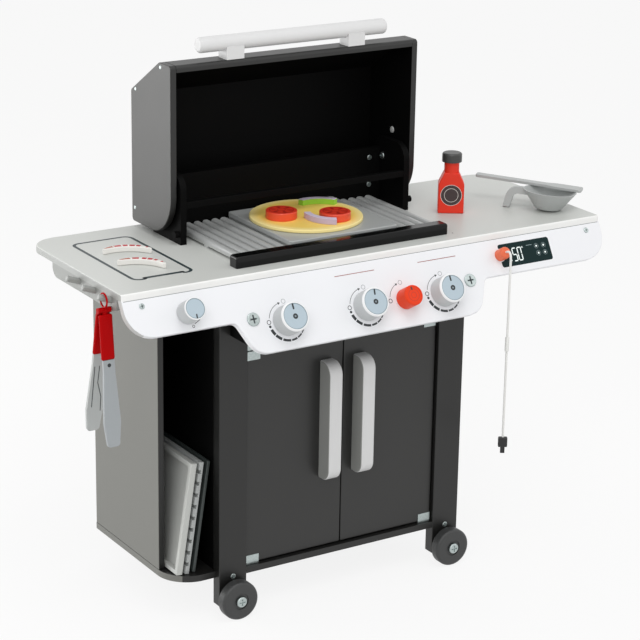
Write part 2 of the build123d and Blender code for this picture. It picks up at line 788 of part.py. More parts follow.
def magnet_catch():
    """The catch block behind the header's lower edge, with a lip behind both doors."""
    points = [
        (DOOR_BACK, HEADER_BOTTOM + CATCH_RISE),
        (DOOR_BACK + CATCH_DEPTH, HEADER_BOTTOM + CATCH_RISE),
        (DOOR_BACK + CATCH_DEPTH, HEADER_BOTTOM - CATCH_LIP),
        (DOOR_BACK + SEAT_GAP, HEADER_BOTTOM - CATCH_LIP),
        (DOOR_BACK + SEAT_GAP, HEADER_BOTTOM),
        (DOOR_BACK, HEADER_BOTTOM),
    ]
    return slab_x(points, CABINET_CENTRE - CATCH_WIDTH / 2, CABINET_CENTRE + CATCH_WIDTH / 2)


def tool_pegs():
    """Round pegs that rise away from the rail under the counter's left end."""
    along = (-math.cos(PEG_RISE), 0, math.sin(PEG_RISE))
    peg = Pos(0, 0, -PEG_IN_RAIL) * rod(PEG, PEG_LENGTH + PEG_IN_RAIL)
    peg = fillet(peg.edges().group_by(Axis.Z)[-1], PEG_ROUND)
    return [Plane(origin=(0, y, PEG_Z), z_dir=along).location * peg for y in PEG_PLACES]


def peg_rail():
    """The batten that carries the pegs."""
    points = [
        (RAIL_FRONT, UNDERSIDE),
        (RAIL_FRONT, UNDERSIDE - RAIL_HEIGHT),
        (RAIL_BACK, UNDERSIDE - RAIL_HEIGHT),
        (RAIL_BACK, UNDERSIDE),
    ]
    return drilled(slab_x(points, 0, BOARD, {1: RAIL_CORNER, 2: RAIL_CORNER}), *tool_pegs())


# The tongs hang by their ring from the front peg. Their hinge pin lies below the ring.
PEG_TOP = PEG_Z + (abs(TONGS_X) - RING_WIRE / 2) * math.tan(PEG_RISE) + PEG / 2 / math.cos(PEG_RISE)
RING_Z = PEG_TOP + RING_WIRE * math.tan(PEG_RISE) + SEAT_GAP + RING_WIRE - RING_OUTER / 2
TONGS_Y = PEG_PLACES[0]
TONGS_Z = RING_Z - RING_OUTER / 2 - TONGS_BARREL / 2 + RING_WIRE / 2
TONGS_HINGE = Pos(TONGS_X, TONGS_Y, TONGS_Z)


def knuckle(width, x):
    """A barrel of the tongs' hinge, across X."""
    barrel = Plane.YZ.location * Cylinder(TONGS_BARREL / 2, width)
    return Pos(x, 0, 0) * barrel


def tongs_arm(side, part):
    """One arm: side is -1 for the front arm and 1 for the back arm. It is drawn hanging straight down
    from the hinge, with its inner face near the hinge's middle plane, and then leans outwards."""
    near = TONGS_ARM_GAP
    far = near + TONGS_THICKNESS
    inner, outer = sorted((side * near, side * far))
    if part == "grip":
        top = -TONGS_BARREL / 2 - EDGE_ROUND
        shape = block(-TONGS_WIDTH / 2, TONGS_WIDTH / 2, inner, outer, -TONGS_GRIP_LENGTH, top)
        shape = soften(shape, 2 * EDGE_ROUND)
    else:
        half, wide, tip = TONGS_WIDTH / 2 - EDGE_ROUND, TONGS_BLADE_WIDTH / 2, TONGS_TIP_WIDTH / 2
        points = [
            (-half, -TONGS_GRIP_LENGTH),
            (-half, -TONGS_WAIST),
            (-wide, -TONGS_BROADEST),
            (-tip, -TONGS_LENGTH),
            (tip, -TONGS_LENGTH),
            (wide, -TONGS_BROADEST),
            (half, -TONGS_WAIST),
            (half, -TONGS_GRIP_LENGTH),
        ]
        rounds = {1: 40.0, 2: 20.0, 3: 6.0, 4: 6.0, 5: 20.0, 6: 40.0}
        inset = side * EDGE_ROUND
        shape = slab_y(points, inner + max(inset, 0), outer + min(inset, 0), rounds)
    return shape


def lean(side):
    """The outward lean of an arm about the hinge."""
    angle = -TONGS_FRONT_ANGLE if side < 0 else TONGS_BACK_ANGLE
    return Rot(angle, 0, 0)


def tongs_front_grip():
    """The front grip, with the middle knuckle and the hanging ring, and the pin through the knuckle."""
    half = TONGS_MIDDLE_KNUCKLE / 2
    neck = block(-half, half, -TONGS_BARREL / 2 + 1, -TONGS_ARM_GAP, -TONGS_BARREL, 0)
    ring = Plane.YZ.location * Torus((RING_OUTER - RING_WIRE) / 2, RING_WIRE / 2)
    ring = Pos(0, 0, RING_Z - TONGS_Z) * ring
    grip = lean(-1) * (tongs_arm(-1, "grip") + neck)
    grip = grip + knuckle(TONGS_MIDDLE_KNUCKLE, 0) + ring
    pin = Plane.YZ.location * Cylinder(TONGS_PIN / 2, TONGS_WIDTH)
    return [TONGS_HINGE * (grip - pin), TONGS_HINGE * pin]


def tongs_back_grip():
    """The back grip, with the two outer knuckles that turn on the pin."""
    width = (TONGS_WIDTH - TONGS_MIDDLE_KNUCKLE) / 2 - KNUCKLE_GAP
    grip = tongs_arm(1, "grip")
    for end in (-1, 1):
        x = end * (TONGS_WIDTH - width) / 2
        left, right = x - width / 2, x + width / 2
        grip = grip + block(left, right, TONGS_ARM_GAP, TONGS_BARREL / 2 - 1, -TONGS_BARREL, 0)
        grip = grip + knuckle(width, x)
    hole = Plane.YZ.location * Cylinder(TONGS_PIN / 2 + SHAFT_FIT, TONGS_WIDTH * 2)
    return TONGS_HINGE * lean(1) * (grip - hole)


def tongs_blade(side):
    """A flat blade below the grip, wider towards its rounded tip."""
    return TONGS_HINGE * lean(side) * tongs_arm(side, "blade")


# Places on the grill top
SUPPORT_INNER = SUPPORT_SPREAD / 2 - BOARD
LEFT_INNER = HOOD_CENTRE - SUPPORT_SPREAD / 2 + BOARD
RIGHT_INNER = HOOD_CENTRE + SUPPORT_SPREAD / 2 - BOARD


def front_rail():
    """The glossy rail in front of the grate, with rounded ends."""
    left = RAIL_BAR_CENTRE - RAIL_BAR_WIDTH / 2
    right = RAIL_BAR_CENTRE + RAIL_BAR_WIDTH / 2
    points = [
        (left, COUNTER_HEIGHT),
        (right, COUNTER_HEIGHT),
        (right, COUNTER_HEIGHT + RAIL_BAR_HEIGHT),
        (left, COUNTER_HEIGHT + RAIL_BAR_HEIGHT),
    ]
    rounds = {2: RAIL_BAR_ROUND, 3: RAIL_BAR_ROUND}
    bar = slab_y(points, RAIL_BAR_FRONT, RAIL_BAR_FRONT + RAIL_BAR_DEPTH, rounds)
    raised = [edge for edge in bar.edges() if edge.bounding_box().max.Z > COUNTER_HEIGHT + 1]
    return fillet([edge for edge in raised if edge.bounding_box().size.Y < 0.01], 2 * EDGE_ROUND)


def support_plates():
    """Upright plates that carry the hood, rounded at both top corners."""
    top = COUNTER_HEIGHT + SUPPORT_HEIGHT
    points = [
        (SUPPORT_FRONT, COUNTER_HEIGHT),
        (SUPPORT_BACK, COUNTER_HEIGHT),
        (SUPPORT_BACK, top),
        (SUPPORT_FRONT, top),
    ]
    plates = []
    for side in (-1, 1):
        near = HOOD_CENTRE + side * SUPPORT_INNER
        far = near + side * BOARD
        plate = slab_x(points, min(near, far), max(near, far), {2: SUPPORT_ROUND, 3: SUPPORT_ROUND})
        plates.append(drilled(plate, *lid_bolts(), *lid_stop_pegs()))
    return plates


def crossbar():
    """The square bar between the plates, above the grate."""
    low = COUNTER_HEIGHT + CROSSBAR_BASE
    back = SUPPORT_FRONT + CROSSBAR_SIZE
    return soften(block(LEFT_INNER, RIGHT_INNER, SUPPORT_FRONT, back, low, low + CROSSBAR_SIZE), 1.0)


def back_screws():
    """Screws through the firebox back board into the battens."""
    small = screw(SCREW_HEAD, SCREW_RISE, SCREW_SHANK, BACK_SCREW_LENGTH)
    screws = []
    for x in (LEFT_INNER + BACK_SCREW_INSET, RIGHT_INNER - BACK_SCREW_INSET):
        for height in BACK_SCREW_HEIGHTS:
            screws.append(facing_front(x, FIREBOX_BACK_Y, COUNTER_HEIGHT + height).location * small)
    return screws


def firebox_back():
    """The upright board behind the grate."""
    back = FIREBOX_BACK_Y + BOARD
    top = COUNTER_HEIGHT + FIREBOX_BACK_HEIGHT
    board = block(LEFT_INNER, RIGHT_INNER, FIREBOX_BACK_Y, back, COUNTER_HEIGHT, top)
    return drilled(board, *back_screws())


def back_battens():
    """Hidden battens in the corners behind the firebox back board."""
    front = FIREBOX_BACK_Y + BOARD
    top = COUNTER_HEIGHT + BATTEN_HEIGHT
    left = block(LEFT_INNER, LEFT_INNER + BATTEN_WIDTH, front, SUPPORT_BACK, COUNTER_HEIGHT, top)
    right = block(RIGHT_INNER - BATTEN_WIDTH, RIGHT_INNER, front, SUPPORT_BACK, COUNTER_HEIGHT, top)
    return [drilled(left, *back_screws()), drilled(right, *back_screws())]


def lid_stop_pegs():
    """Short pegs on the outsides of the plates, under the closed hood's cheeks."""
    y = SUPPORT_FRONT + STOP_PEG_FROM_FRONT
    z = COUNTER_HEIGHT + LID_FOOT - SEAT_GAP - STOP_PEG / 2
    peg = Plane.YZ.location * Cylinder(STOP_PEG / 2, STOP_PEG_LENGTH + BOARD / 2)
    reach = SUPPORT_SPREAD / 2 + (STOP_PEG_LENGTH - BOARD / 2) / 2
    return [Pos(HOOD_CENTRE + side * reach, y, z) * peg for side in (-1, 1)]


# The hood is drawn in its open position, a quarter turn back about its pivot.
PIVOT_Z = COUNTER_HEIGHT + LID_PIVOT[1]


def opened(y, height):
    """The place in the open hood of a (Y, height) point of the closed one."""
    return (LID_PIVOT[0] + height - LID_PIVOT[1], PIVOT_Z - (y - LID_PIVOT[0]))


LID_SECTION = [
    (LID_FRONT, LID_FOOT),
    (LID_FRONT, LIP_TOP),
    SLOPE_TOP,
    (LID_BACK, SLOPE_TOP[1]),
    (LID_BACK, LID_FOOT),
]
LID_ROUNDS = {0: LID_ROUND, 1: LID_ROUND, 2: LID_ROUND, 3: LID_ROUND, 4: LID_BACK_RADIUS}
CHEEK_INNER = SUPPORT_SPREAD / 2 + CHEEK_GAP


def lid_bolts():
    """Bolts from inside the plates into the cheeks, which the hood turns on."""
    length = BOARD + CHEEK_GAP + LID_BOLT_IN_CHEEK
    bolt = screw(LID_BOLT_HEAD, LID_BOLT_HEAD_RISE, LID_BOLT, length)
    left = Plane(origin=(LEFT_INNER, LID_PIVOT[0], PIVOT_Z), z_dir=(1, 0, 0)).location
    right = Plane(origin=(RIGHT_INNER, LID_PIVOT[0], PIVOT_Z), z_dir=(-1, 0, 0)).location
    return [left * bolt, right * bolt]


def lid_washers():
    """Washers on the bolts, in the gap between the plates and the cheeks."""
    ring = tube(WASHER_WIDTH, LID_BOLT, CHEEK_GAP - SEAT_GAP)
    left = HOOD_CENTRE - SUPPORT_SPREAD / 2
    right = HOOD_CENTRE + SUPPORT_SPREAD / 2
    return [
        Plane(origin=(left, LID_PIVOT[0], PIVOT_Z), z_dir=(-1, 0, 0)).location * ring,
        Plane(origin=(right, LID_PIVOT[0], PIVOT_Z), z_dir=(1, 0, 0)).location * ring,
    ]


def lid_cheeks():
    """The two ends of the hood."""
    points = [opened(y, height) for y, height in LID_SECTION]
    hole = Plane.YZ.location * Cylinder(LID_BOLT / 2 + SHAFT_FIT, 2 * (LID_BOLT_IN_CHEEK + SEAT_GAP))
    cheeks = []
    for side in (-1, 1):
        near = HOOD_CENTRE + side * CHEEK_INNER
        far = near + side * BOARD
        cheek = soften(slab_x(points, min(near, far), max(near, far), LID_ROUNDS))
        cheeks.append(cheek - Pos(near, LID_PIVOT[0], PIVOT_Z) * hole)
    return cheeks


def mitre(previous, corner, following):
    """The inner corner of two boards that meet at an outer corner."""
    turns = []
    for start, end in ((previous, corner), (corner, following)):
        length = math.dist(start, end)
        turns.append(((end[1] - start[1]) / length, -(end[0] - start[0]) / length))
    (ax, ay), (bx, by) = turns
    scale = BOARD / (1 + ax * bx + ay * by)
    return (corner[0] + scale * (ax + bx), corner[1] + scale * (ay + by))


def lid_panels():
    """The four boards between the cheeks, mitred where they meet."""
    foot, lip, slope, back, tail = LID_SECTION
    end = (LID_BACK, BACK_PANEL_FOOT)
    outer = [foot, lip, slope, back, end]
    inner = [
        (foot[0] + BOARD, foot[1]),
        mitre(foot, lip, slope),
        mitre(lip, slope, back),
        mitre(slope, back, end),
        (LID_BACK - BOARD, BACK_PANEL_FOOT),
    ]
    left = HOOD_CENTRE - CHEEK_INNER
    right = HOOD_CENTRE + CHEEK_INNER
    envelope = slab_x([opened(*point) for point in LID_SECTION], left, right, LID_ROUNDS)
    names = ("lid_front_lip", "lid_slope_panel", "lid_top_panel", "lid_back_panel")
    panels = {}
    for number, name in enumerate(names):
        points = [outer[number], outer[number + 1], inner[number + 1], inner[number]]
        panels[name] = slab_x([opened(*point) for point in points], left, right) & envelope
    return panels


def lid_handle_bar():
    """The round bar across the hood's front."""
    y, z = opened(HANDLE_BAR_Y, HANDLE_BAR_Z)
    bar = Cylinder(HANDLE_BAR / 2, HANDLE_BAR_LENGTH)
    bar = Plane.YZ.location * fillet(bar.edges().filter_by(GeomType.CIRCLE), HANDLE_BAR_ROUND)
    return Pos(HOOD_CENTRE, y, z) * bar


def lid_handle_standoffs():
    """Blocks between the front lip and the bar, hollowed to fit the bar."""
    low, high = HANDLE_BAR_Z - STANDOFF_HEIGHT / 2, HANDLE_BAR_Z + STANDOFF_HEIGHT / 2
    reach = LID_FRONT - STANDOFF_REACH
    points = [opened(*point) for point in ((reach, low), (LID_FRONT, low), (LID_FRONT, high), (reach, high))]
    standoffs = []
    for side in (-1, 1):
        middle = HOOD_CENTRE + side * STANDOFF_SPREAD / 2
        standoff = slab_x(points, middle - STANDOFF_WIDTH / 2, middle + STANDOFF_WIDTH / 2)
        standoffs.append(drilled(standoff, lid_handle_bar()))
    return standoffs


def grate():
    """Round-topped bars on three cross rails, moulded in one piece."""
    pitch = (GRATE_WIDTH - GRATE_BAR_WIDTH) / (GRATE_BARS - 1)
    right = GRATE_LEFT + GRATE_WIDTH
    back = GRATE_FRONT + GRATE_DEPTH
    rail_tops = COUNTER_HEIGHT + GRATE_RAIL_HEIGHT
    low = rail_tops - 1.0
    section = [
        (0, low),
        (GRATE_BAR_WIDTH, low),
        (GRATE_BAR_WIDTH, COUNTER_HEIGHT + GRATE_HEIGHT),
        (0, COUNTER_HEIGHT + GRATE_HEIGHT),
    ]
    bar = slab_y(section, GRATE_FRONT, back, {2: GRATE_BAR_ROUND, 3: GRATE_BAR_ROUND})
    bars = [Pos(GRATE_LEFT + number * pitch, 0, 0) * bar for number in range(GRATE_BARS)]
    rails = []
    for y in (GRATE_FRONT, GRATE_FRONT + (GRATE_DEPTH - GRATE_RAIL_WIDTH) / 2, back - GRATE_RAIL_WIDTH):
        rails.append(block(GRATE_LEFT, right, y, y + GRATE_RAIL_WIDTH, COUNTER_HEIGHT, rail_tops))
    return rails[0].fuse(*rails[1:], *bars)


GRIDDLE_BASE = COUNTER_HEIGHT + GRATE_HEIGHT + SEAT_GAP
PIZZA_BASE = GRIDDLE_BASE + GRIDDLE_THICKNESS + SEAT_GAP
TOPPING_BASE = PIZZA_BASE + PIZZA_THICKNESS


def griddle_tray():
    """A flat cooking plate on the grate."""
    right = GRIDDLE_LEFT + GRIDDLE_WIDTH
    back = GRIDDLE_FRONT + GRIDDLE_DEPTH
    points = [(GRIDDLE_LEFT, GRIDDLE_FRONT), (right, GRIDDLE_FRONT), (right, back), (GRIDDLE_LEFT, back)]
    rounds = {number: GRIDDLE_CORNER for number in range(4)}
    return soften(slab_z(points, GRIDDLE_BASE, GRIDDLE_BASE + GRIDDLE_THICKNESS, rounds), 2.0)


def disc(centre, diameter, base, thickness, rounding):
    """A round slice that lies flat."""
    piece = Pos(centre[0], centre[1], base) * rod(diameter, thickness)
    return fillet(piece.edges(), rounding)


def bent_strip(centre, radii, angles, thickness):
    """A strip of vegetable bent round a centre, from one angle to the other, on the pizza."""
    inner, outer = radii
    start, end = angles
    middle = math.radians((start + end) / 2)
    half = math.radians(end - start) / 2
    reach = 2 * outer
    sector = [
        (0, 0),
        (reach * math.cos(middle - half), reach * math.sin(middle - half)),
        (reach * math.cos(middle), reach * math.sin(middle)),
        (reach * math.cos(middle + half), reach * math.sin(middle + half)),
    ]
    ring = Pos(0, 0, TOPPING_BASE) * tube(2 * outer, 2 * inner, thickness)
    strip = ring & slab_z(sector, TOPPING_BASE, TOPPING_BASE + thickness)
    return Pos(PIZZA_CENTRE[0] + centre[0], PIZZA_CENTRE[1] + centre[1], 0) * soften(strip, 1.0)


def pizza_toppings():
    """Two tomato slices, a strip of pepper behind them and a strip of onion in front."""
    tomatoes = [disc(spot, TOMATO_WIDTH, TOPPING_BASE, TOMATO_THICKNESS, 2.0) for spot in TOMATO_SPOTS]
    pepper = bent_strip(PEPPER_CENTRE, PEPPER_RADII, PEPPER_ANGLES, PEPPER_THICKNESS)
    onion = bent_strip(ONION_CENTRE, ONION_RADII, ONION_ANGLES, ONION_THICKNESS)
    return [*tomatoes, pepper, onion]


def crescent_piece(spot, turn):
    """A curved, white play food piece on the counter, arched towards the back."""
    radius = (CRESCENT_LENGTH**2 / 4 + CRESCENT_DEPTH**2) / (2 * CRESCENT_DEPTH)
    arched = Pos(0, CRESCENT_DEPTH - radius) * Circle(radius)
    front = Pos(0, -2 * radius) * Rectangle(4 * radius, 4 * radius)
    inner_half = CRESCENT_LENGTH / 2 - CRESCENT_TIP
    inner_radius = (inner_half**2 + CRESCENT_HOLLOW**2) / (2 * CRESCENT_HOLLOW)
    hollow = Pos(0, CRESCENT_HOLLOW - inner_radius) * Circle(inner_radius)
    piece = extrude(arched - front - hollow, amount=CRESCENT_HEIGHT, dir=(0, 0, 1))
    place = Pos(spot[0], spot[1], COUNTER_HEIGHT + SEAT_GAP) * Rot(0, 0, turn)
    return place * soften(piece, CRESCENT_ROUND)


BOTTLE_PLACE = Pos(BOTTLE_SPOT[0], BOTTLE_SPOT[1], COUNTER_HEIGHT + SEAT_GAP) * Rot(0, 0, -VIEW_TURN)


def bottle():
    """A sauce bottle: a flat body, sloping shoulders and a round neck."""
    half, neck = BOTTLE_WIDTH / 2, BOTTLE_NECK / 2
    points = [
        (-half, 0),
        (half, 0),
        (half, BOTTLE_SHOULDER),
        (neck, BOTTLE_NECK_BASE),
        (-neck, BOTTLE_NECK_BASE),
        (-half, BOTTLE_SHOULDER),
    ]
    rounds = {2: BOTTLE_SHOULDER_ROUND, 5: BOTTLE_SHOULDER_ROUND}
    body = soften(slab_y(points, -BOTTLE_DEPTH / 2, BOTTLE_DEPTH / 2, rounds), 2.0)
    neck_low = BOTTLE_NECK_BASE - EDGE_ROUND
    return BOTTLE_PLACE * (body + Pos(0, 0, neck_low) * rod(BOTTLE_NECK, BOTTLE_TOP - neck_low))


def bottle_cap():
    """The screw cap on the bottle's neck."""
    cap = rod(CAP_WIDTH, CAP_HEIGHT)
    cap = fillet(cap.edges().group_by(Axis.Z)[-1], CAP_ROUND)
    return BOTTLE_PLACE * Pos(0, 0, BOTTLE_TOP) * cap


def bowl_sink():
    """The rise of the bowl's middle that puts its low base edge on the counter."""
    return (BOWL_BASE / 2 - 5) * math.sin(math.radians(BOWL_TILT))


def bowl():
    """A small pan with a bent strap for a handle, which tips it a little."""
    rim, base = BOWL_RIM / 2, BOWL_BASE / 2
    profile = [
        (0, 0),
        (base, 0),
        (rim, BOWL_HEIGHT),
        (rim - BOWL_WALL, BOWL_HEIGHT),
        (base - BOWL_WALL, BOWL_WALL),
        (0, BOWL_WALL),
    ]
    pan = turned(profile, {1: BOWL_ROUND, 4: BOWL_ROUND - 1})
    start = rim - BOWL_WALL
    low_start = rim - (rim - base) * STRAP_THICKNESS / BOWL_HEIGHT - BOWL_WALL
    bend = rim + STRAP_REACH
    end = bend + STRAP_SPLAY
    inner_end = end - STRAP_THICKNESS
    raised_reach = inner_end * abs(math.cos(math.radians(STRAP_TURN))) - STRAP_WIDTH / 2
    foot = -bowl_sink() - raised_reach * math.sin(math.radians(BOWL_TILT))
    strap_points = [
        (low_start, BOWL_HEIGHT - STRAP_THICKNESS),
        (start, BOWL_HEIGHT),
        (bend, BOWL_HEIGHT),
        (end, foot),
        (inner_end, foot),
        (bend - STRAP_THICKNESS, BOWL_HEIGHT - STRAP_THICKNESS),
    ]
    rounds = {2: STRAP_BEND, 5: STRAP_BEND - STRAP_THICKNESS}
    strap = slab_y(strap_points, -STRAP_WIDTH / 2, STRAP_WIDTH / 2, rounds)
    shape = pan + Rot(0, 0, STRAP_TURN) * strap
    place = Pos(BOWL_SPOT[0], BOWL_SPOT[1], COUNTER_HEIGHT + SEAT_GAP + bowl_sink())
    return place * Rot(0, BOWL_TILT, 0) * shape


def spatula():
    """A long flat spatula that rests across the bowl."""
    half, blade = SPATULA_WIDTH / 2, SPATULA_BLADE_WIDTH / 2
    waist = SPATULA_LENGTH - SPATULA_BLADE
    points = [
        (0, -half),
        (waist, -half),
        (waist + SPATULA_SHOULDER, -blade),
        (SPATULA_LENGTH, -blade),
        (SPATULA_LENGTH, blade),
        (waist + SPATULA_SHOULDER, blade),
        (waist, half),
        (0, half),
    ]
    rounds = {0: 4.0, 7: 4.0, 3: 5.0, 4: 5.0}
    shape = soften(slab_z(points, 0, SPATULA_THICKNESS, rounds), 1.0)
    place = Pos(SPATULA_FROM[0], SPATULA_FROM[1], COUNTER_HEIGHT + SPATULA_REST)
    return place * Rot(0, 0, SPATULA_TURN) * Rot(0, SPATULA_PITCH, 0) * shape


def spare_place(foot):
    """The lean of a spare plate about the lower right edge that it stands on."""
    return Pos(foot, SPARE_FRONT, BASE_TOP + SEAT_GAP) * Rot(0, SPARE_LEAN, 0)


def spare_plates():
    """A rimmed tray, a ribbed grate and a plain plate, which stand on edge."""
    tray_t, grate_t, plate_t = SPARE_THICKNESSES
    tray = block(-tray_t, 0, 0, SPARE_DEPTH, 0, SPARE_HEIGHT)
    hollow = block(
        -tray_t, -SPARE_FLOOR, SPARE_RIM, SPARE_DEPTH - SPARE_RIM, SPARE_RIM, SPARE_HEIGHT - SPARE_RIM
    )
    tray = soften(tray, EDGE_ROUND) - hollow
    ribbed = block(-grate_t, 0, 0, SPARE_DEPTH, 0, SPARE_HEIGHT)
    pitch = (SPARE_HEIGHT - SPARE_RIB) / (SPARE_RIBS - 1)
    for number in range(SPARE_RIBS - 1):
        low = SPARE_RIB + number * pitch
        ribbed = ribbed - block(-grate_t, -SPARE_FLOOR, 0, SPARE_DEPTH, low, low + pitch - SPARE_RIB)
    plain = soften(block(-plate_t, 0, 0, SPARE_DEPTH, 0, SPARE_HEIGHT), EDGE_ROUND)
    shapes = (tray, ribbed, plain)
    names = ("spare_tray", "spare_grate", "spare_plate")
    return {name: spare_place(foot) * shape for name, foot, shape in zip(names, SPARE_FEET, shapes)}


def cord_points():
    """The route from the plug to the sleeve."""
    points = [on_panel(DISPLAY_LEFT, PLUG_DROP, PLUG_LENGTH).position]
    for degrees in CORD_ELEVATIONS:
        angle = math.radians(degrees)
        drift = -CORD_DRIFT / 2 if len(points) > 1 else 0.0
        points.append(points[-1] + Vector(drift, -CORD_STEP * math.cos(angle), CORD_STEP * math.sin(angle)))
    last = points[-1]
    points.append(Vector(last.X, last.Y, SLEEVE_TOP))
    return points


def cord_radii(points):
    """The largest arc at each corner that its two runs allow."""
    radii = []
    for before, corner, after in zip(points, points[1:], points[2:]):
        arriving, leaving = corner - before, after - corner
        half_turn = math.radians(arriving.get_angle(leaving)) / 2
        radii.append(0.45 * min(arriving.length, leaving.length) / math.tan(half_turn))
    return radii


def cord():
    """The cord's two lengths: from the plug's face to the sleeve and from the sleeve downwards."""
    points = cord_points()
    path = FilletPolyline(*points, radius=cord_radii(points))
    section = Plane(origin=points[0], z_dir=points[1] - points[0]) * Circle(CORD / 2)
    length = SLEEVE_BOTTOM - CONNECTOR_TOP
    return [sweep(section, path=path), hanging(length, SLEEVE_BOTTOM) * rod(CORD, length)]


def hanging(length, top):
    """A place straight below the cord's last bend, for a piece that hangs from top downwards."""
    last = cord_points()[-1]
    return Pos(last.X, last.Y, top - length)


def cord_sleeve():
    """The small moulding where the cord's two lengths join."""
    sleeve = rod(SLEEVE_WIDTH, SLEEVE_LENGTH)
    return hanging(SLEEVE_LENGTH, SLEEVE_TOP) * fillet(sleeve.edges(), 1.5)


def connector():
    """The plug at the cord's free end, with its flat tip."""
    length = CONNECTOR_LENGTH + TIP_LENGTH
    across, through = CONNECTOR_WIDTH / 2, CONNECTOR_DEPTH / 2
    body = soften(block(-across, across, -through, through, TIP_LENGTH, length), 2.0)
    tip = block(-TIP_WIDTH / 2, TIP_WIDTH / 2, -TIP_DEPTH / 2, TIP_DEPTH / 2, 0, TIP_LENGTH + 1)
    return hanging(length, CONNECTOR_TOP) * Rot(0, 0, -VIEW_TURN) * (body + tip)


PARTS = {
    "countertop": counter(),
    "control_panel": control_panel(),
    "inner_battens": panel_gussets() + back_battens(),
    "panel_cam_bolts": cam_bolts(),
    "cross_head_screws": panel_screws() + post_screws() + back_screws(),
    "thermometer_panel": [display_plate(), probe_socket()],
    "peg_rail": [peg_rail(), *tool_pegs()],
    "base_board": base_board(),
    "side_panels": side_panels(),
    "back_panel": back_panel(),
    "posts": front_posts() + rear_posts(),
    "wheel_axles": wheel_axles() + axle_spacers(),
    "wheel_left": wheel(-1),
    "wheel_right": wheel(1),
    "door_header": door_header(),
    "door_hinge_fixings": door_pins() + fixed_hinge_plates(),
    "magnet_catch": magnet_catch(),
    "front_rail": front_rail(),
    "support_plates": support_plates() + lid_stop_pegs(),
    "firebox_boards": [crossbar(), firebox_back()],
    "lid_pivot_bolts": lid_bolts() + lid_washers(),
    "lid_cheeks": lid_cheeks(),
    **lid_panels(),
    "lid_handle_bar": lid_handle_bar(),
    "lid_handle_standoffs": lid_handle_standoffs(),
    "grill_grate": grate(),
    "griddle_tray": griddle_tray(),
    "pizza_base": disc(PIZZA_CENTRE, PIZZA_WIDTH, PIZZA_BASE, PIZZA_THICKNESS, 2.0),
    "pizza_toppings": pizza_toppings(),
    "food_piece_back": crescent_piece(CRESCENT_SPOTS[0], CRESCENT_TURNS[0]),
    "food_piece_front": crescent_piece(CRESCENT_SPOTS[1], CRESCENT_TURNS[1]),
    "bottle": bottle(),
    "bottle_cap": bottle_cap(),
    "bowl": bowl(),
    "spatula": spatula(),
    "tongs_front_grip": tongs_front_grip(),
    "tongs_front_blade": tongs_blade(-1),
    "tongs_back_grip": tongs_back_grip(),
    "tongs_back_blade": tongs_blade(1),
    **spare_plates(),
}
for side_name, side_sign in SIDES.items():
    PARTS[side_name + "_door"] = door(side_sign)
    PARTS[side_name + "_door_handle"] = door_handle(side_sign)
    PARTS[side_name + "_door_hinge_plates"] = door_hinge_plates(side_sign)
for knob_name, (knob_x, knob_drop, knob_size) in KNOBS.items():
    PARTS[knob_name] = knob(knob_x, knob_drop, knob_size)
CORD_PARTS = {
    "probe_plug": probe_plug(),
    "probe_cord": cord(),
    "probe_sleeve": cord_sleeve(),
    "probe_connector": connector(),
}


def as_solids(shape):
    """The separate solids of a piece or of a list of like pieces."""
    pieces = shape if isinstance(shape, list) else [shape]
    return [solid for piece in pieces for solid in piece.solids()]


# The finished frame stands on the floor, with its origin under the middle of the grill's box.
RIGID = {name: as_solids(shape) for name, shape in PARTS.items()}
FREE = {name: as_solids(shape) for name, shape in CORD_PARTS.items()}
BOX = Compound([solid for solids in RIGID.values() for solid in solids]).bounding_box()
CENTRE = Pos(-(BOX.min.X + BOX.max.X) / 2, -(BOX.min.Y + BOX.max.Y) / 2, -BOX.min.Z)

os.makedirs("parts", exist_ok=True)
for part_name, part_solids in {**RIGID, **FREE}.items():
    export_step(CENTRE * Compound(part_solids), "parts/" + part_name + ".step")
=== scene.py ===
"""Looks of a toy barbecue grill: lacquered boards, moulded knobs and utensils, painted play food."""

import bmesh
import bpy
import numpy as np
from mathutils import Matrix, Vector


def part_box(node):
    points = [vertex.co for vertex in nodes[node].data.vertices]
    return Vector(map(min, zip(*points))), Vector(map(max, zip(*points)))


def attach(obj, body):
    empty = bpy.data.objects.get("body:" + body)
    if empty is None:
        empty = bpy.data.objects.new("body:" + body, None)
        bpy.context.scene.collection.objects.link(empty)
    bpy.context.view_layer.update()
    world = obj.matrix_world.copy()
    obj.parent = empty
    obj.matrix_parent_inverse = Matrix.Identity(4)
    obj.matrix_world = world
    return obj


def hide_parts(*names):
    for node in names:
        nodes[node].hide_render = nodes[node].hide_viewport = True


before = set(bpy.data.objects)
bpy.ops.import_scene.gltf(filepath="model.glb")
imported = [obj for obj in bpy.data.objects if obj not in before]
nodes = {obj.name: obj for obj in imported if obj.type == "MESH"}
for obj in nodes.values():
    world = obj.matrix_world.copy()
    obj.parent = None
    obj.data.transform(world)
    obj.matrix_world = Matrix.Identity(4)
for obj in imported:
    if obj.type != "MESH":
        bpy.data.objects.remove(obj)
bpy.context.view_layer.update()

# Places are given in millimetres from the counter's front left corner, with X right, Y back and Z up
# from the floor. The model's own origin lies on the floor under the middle of the grill.
counter_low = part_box("countertop")[0]
CORNER = np.array([counter_low.x, counter_low.y, 0.0])
COUNTER_TOP = 646.0


def placed(points):
    """Points in millimetres from the counter's corner, moved to the model's origin, in metres."""
    return np.asarray(points, float) / 1000 + CORNER


# The camera stands left of the grill and looks a little down on it, as in the photograph.
YAW, PITCH, ROLL = np.radians([32.45, 18.46, 0.98])
CAMERA_PLACE = (-1594.39, -3116.33, 1772.81)

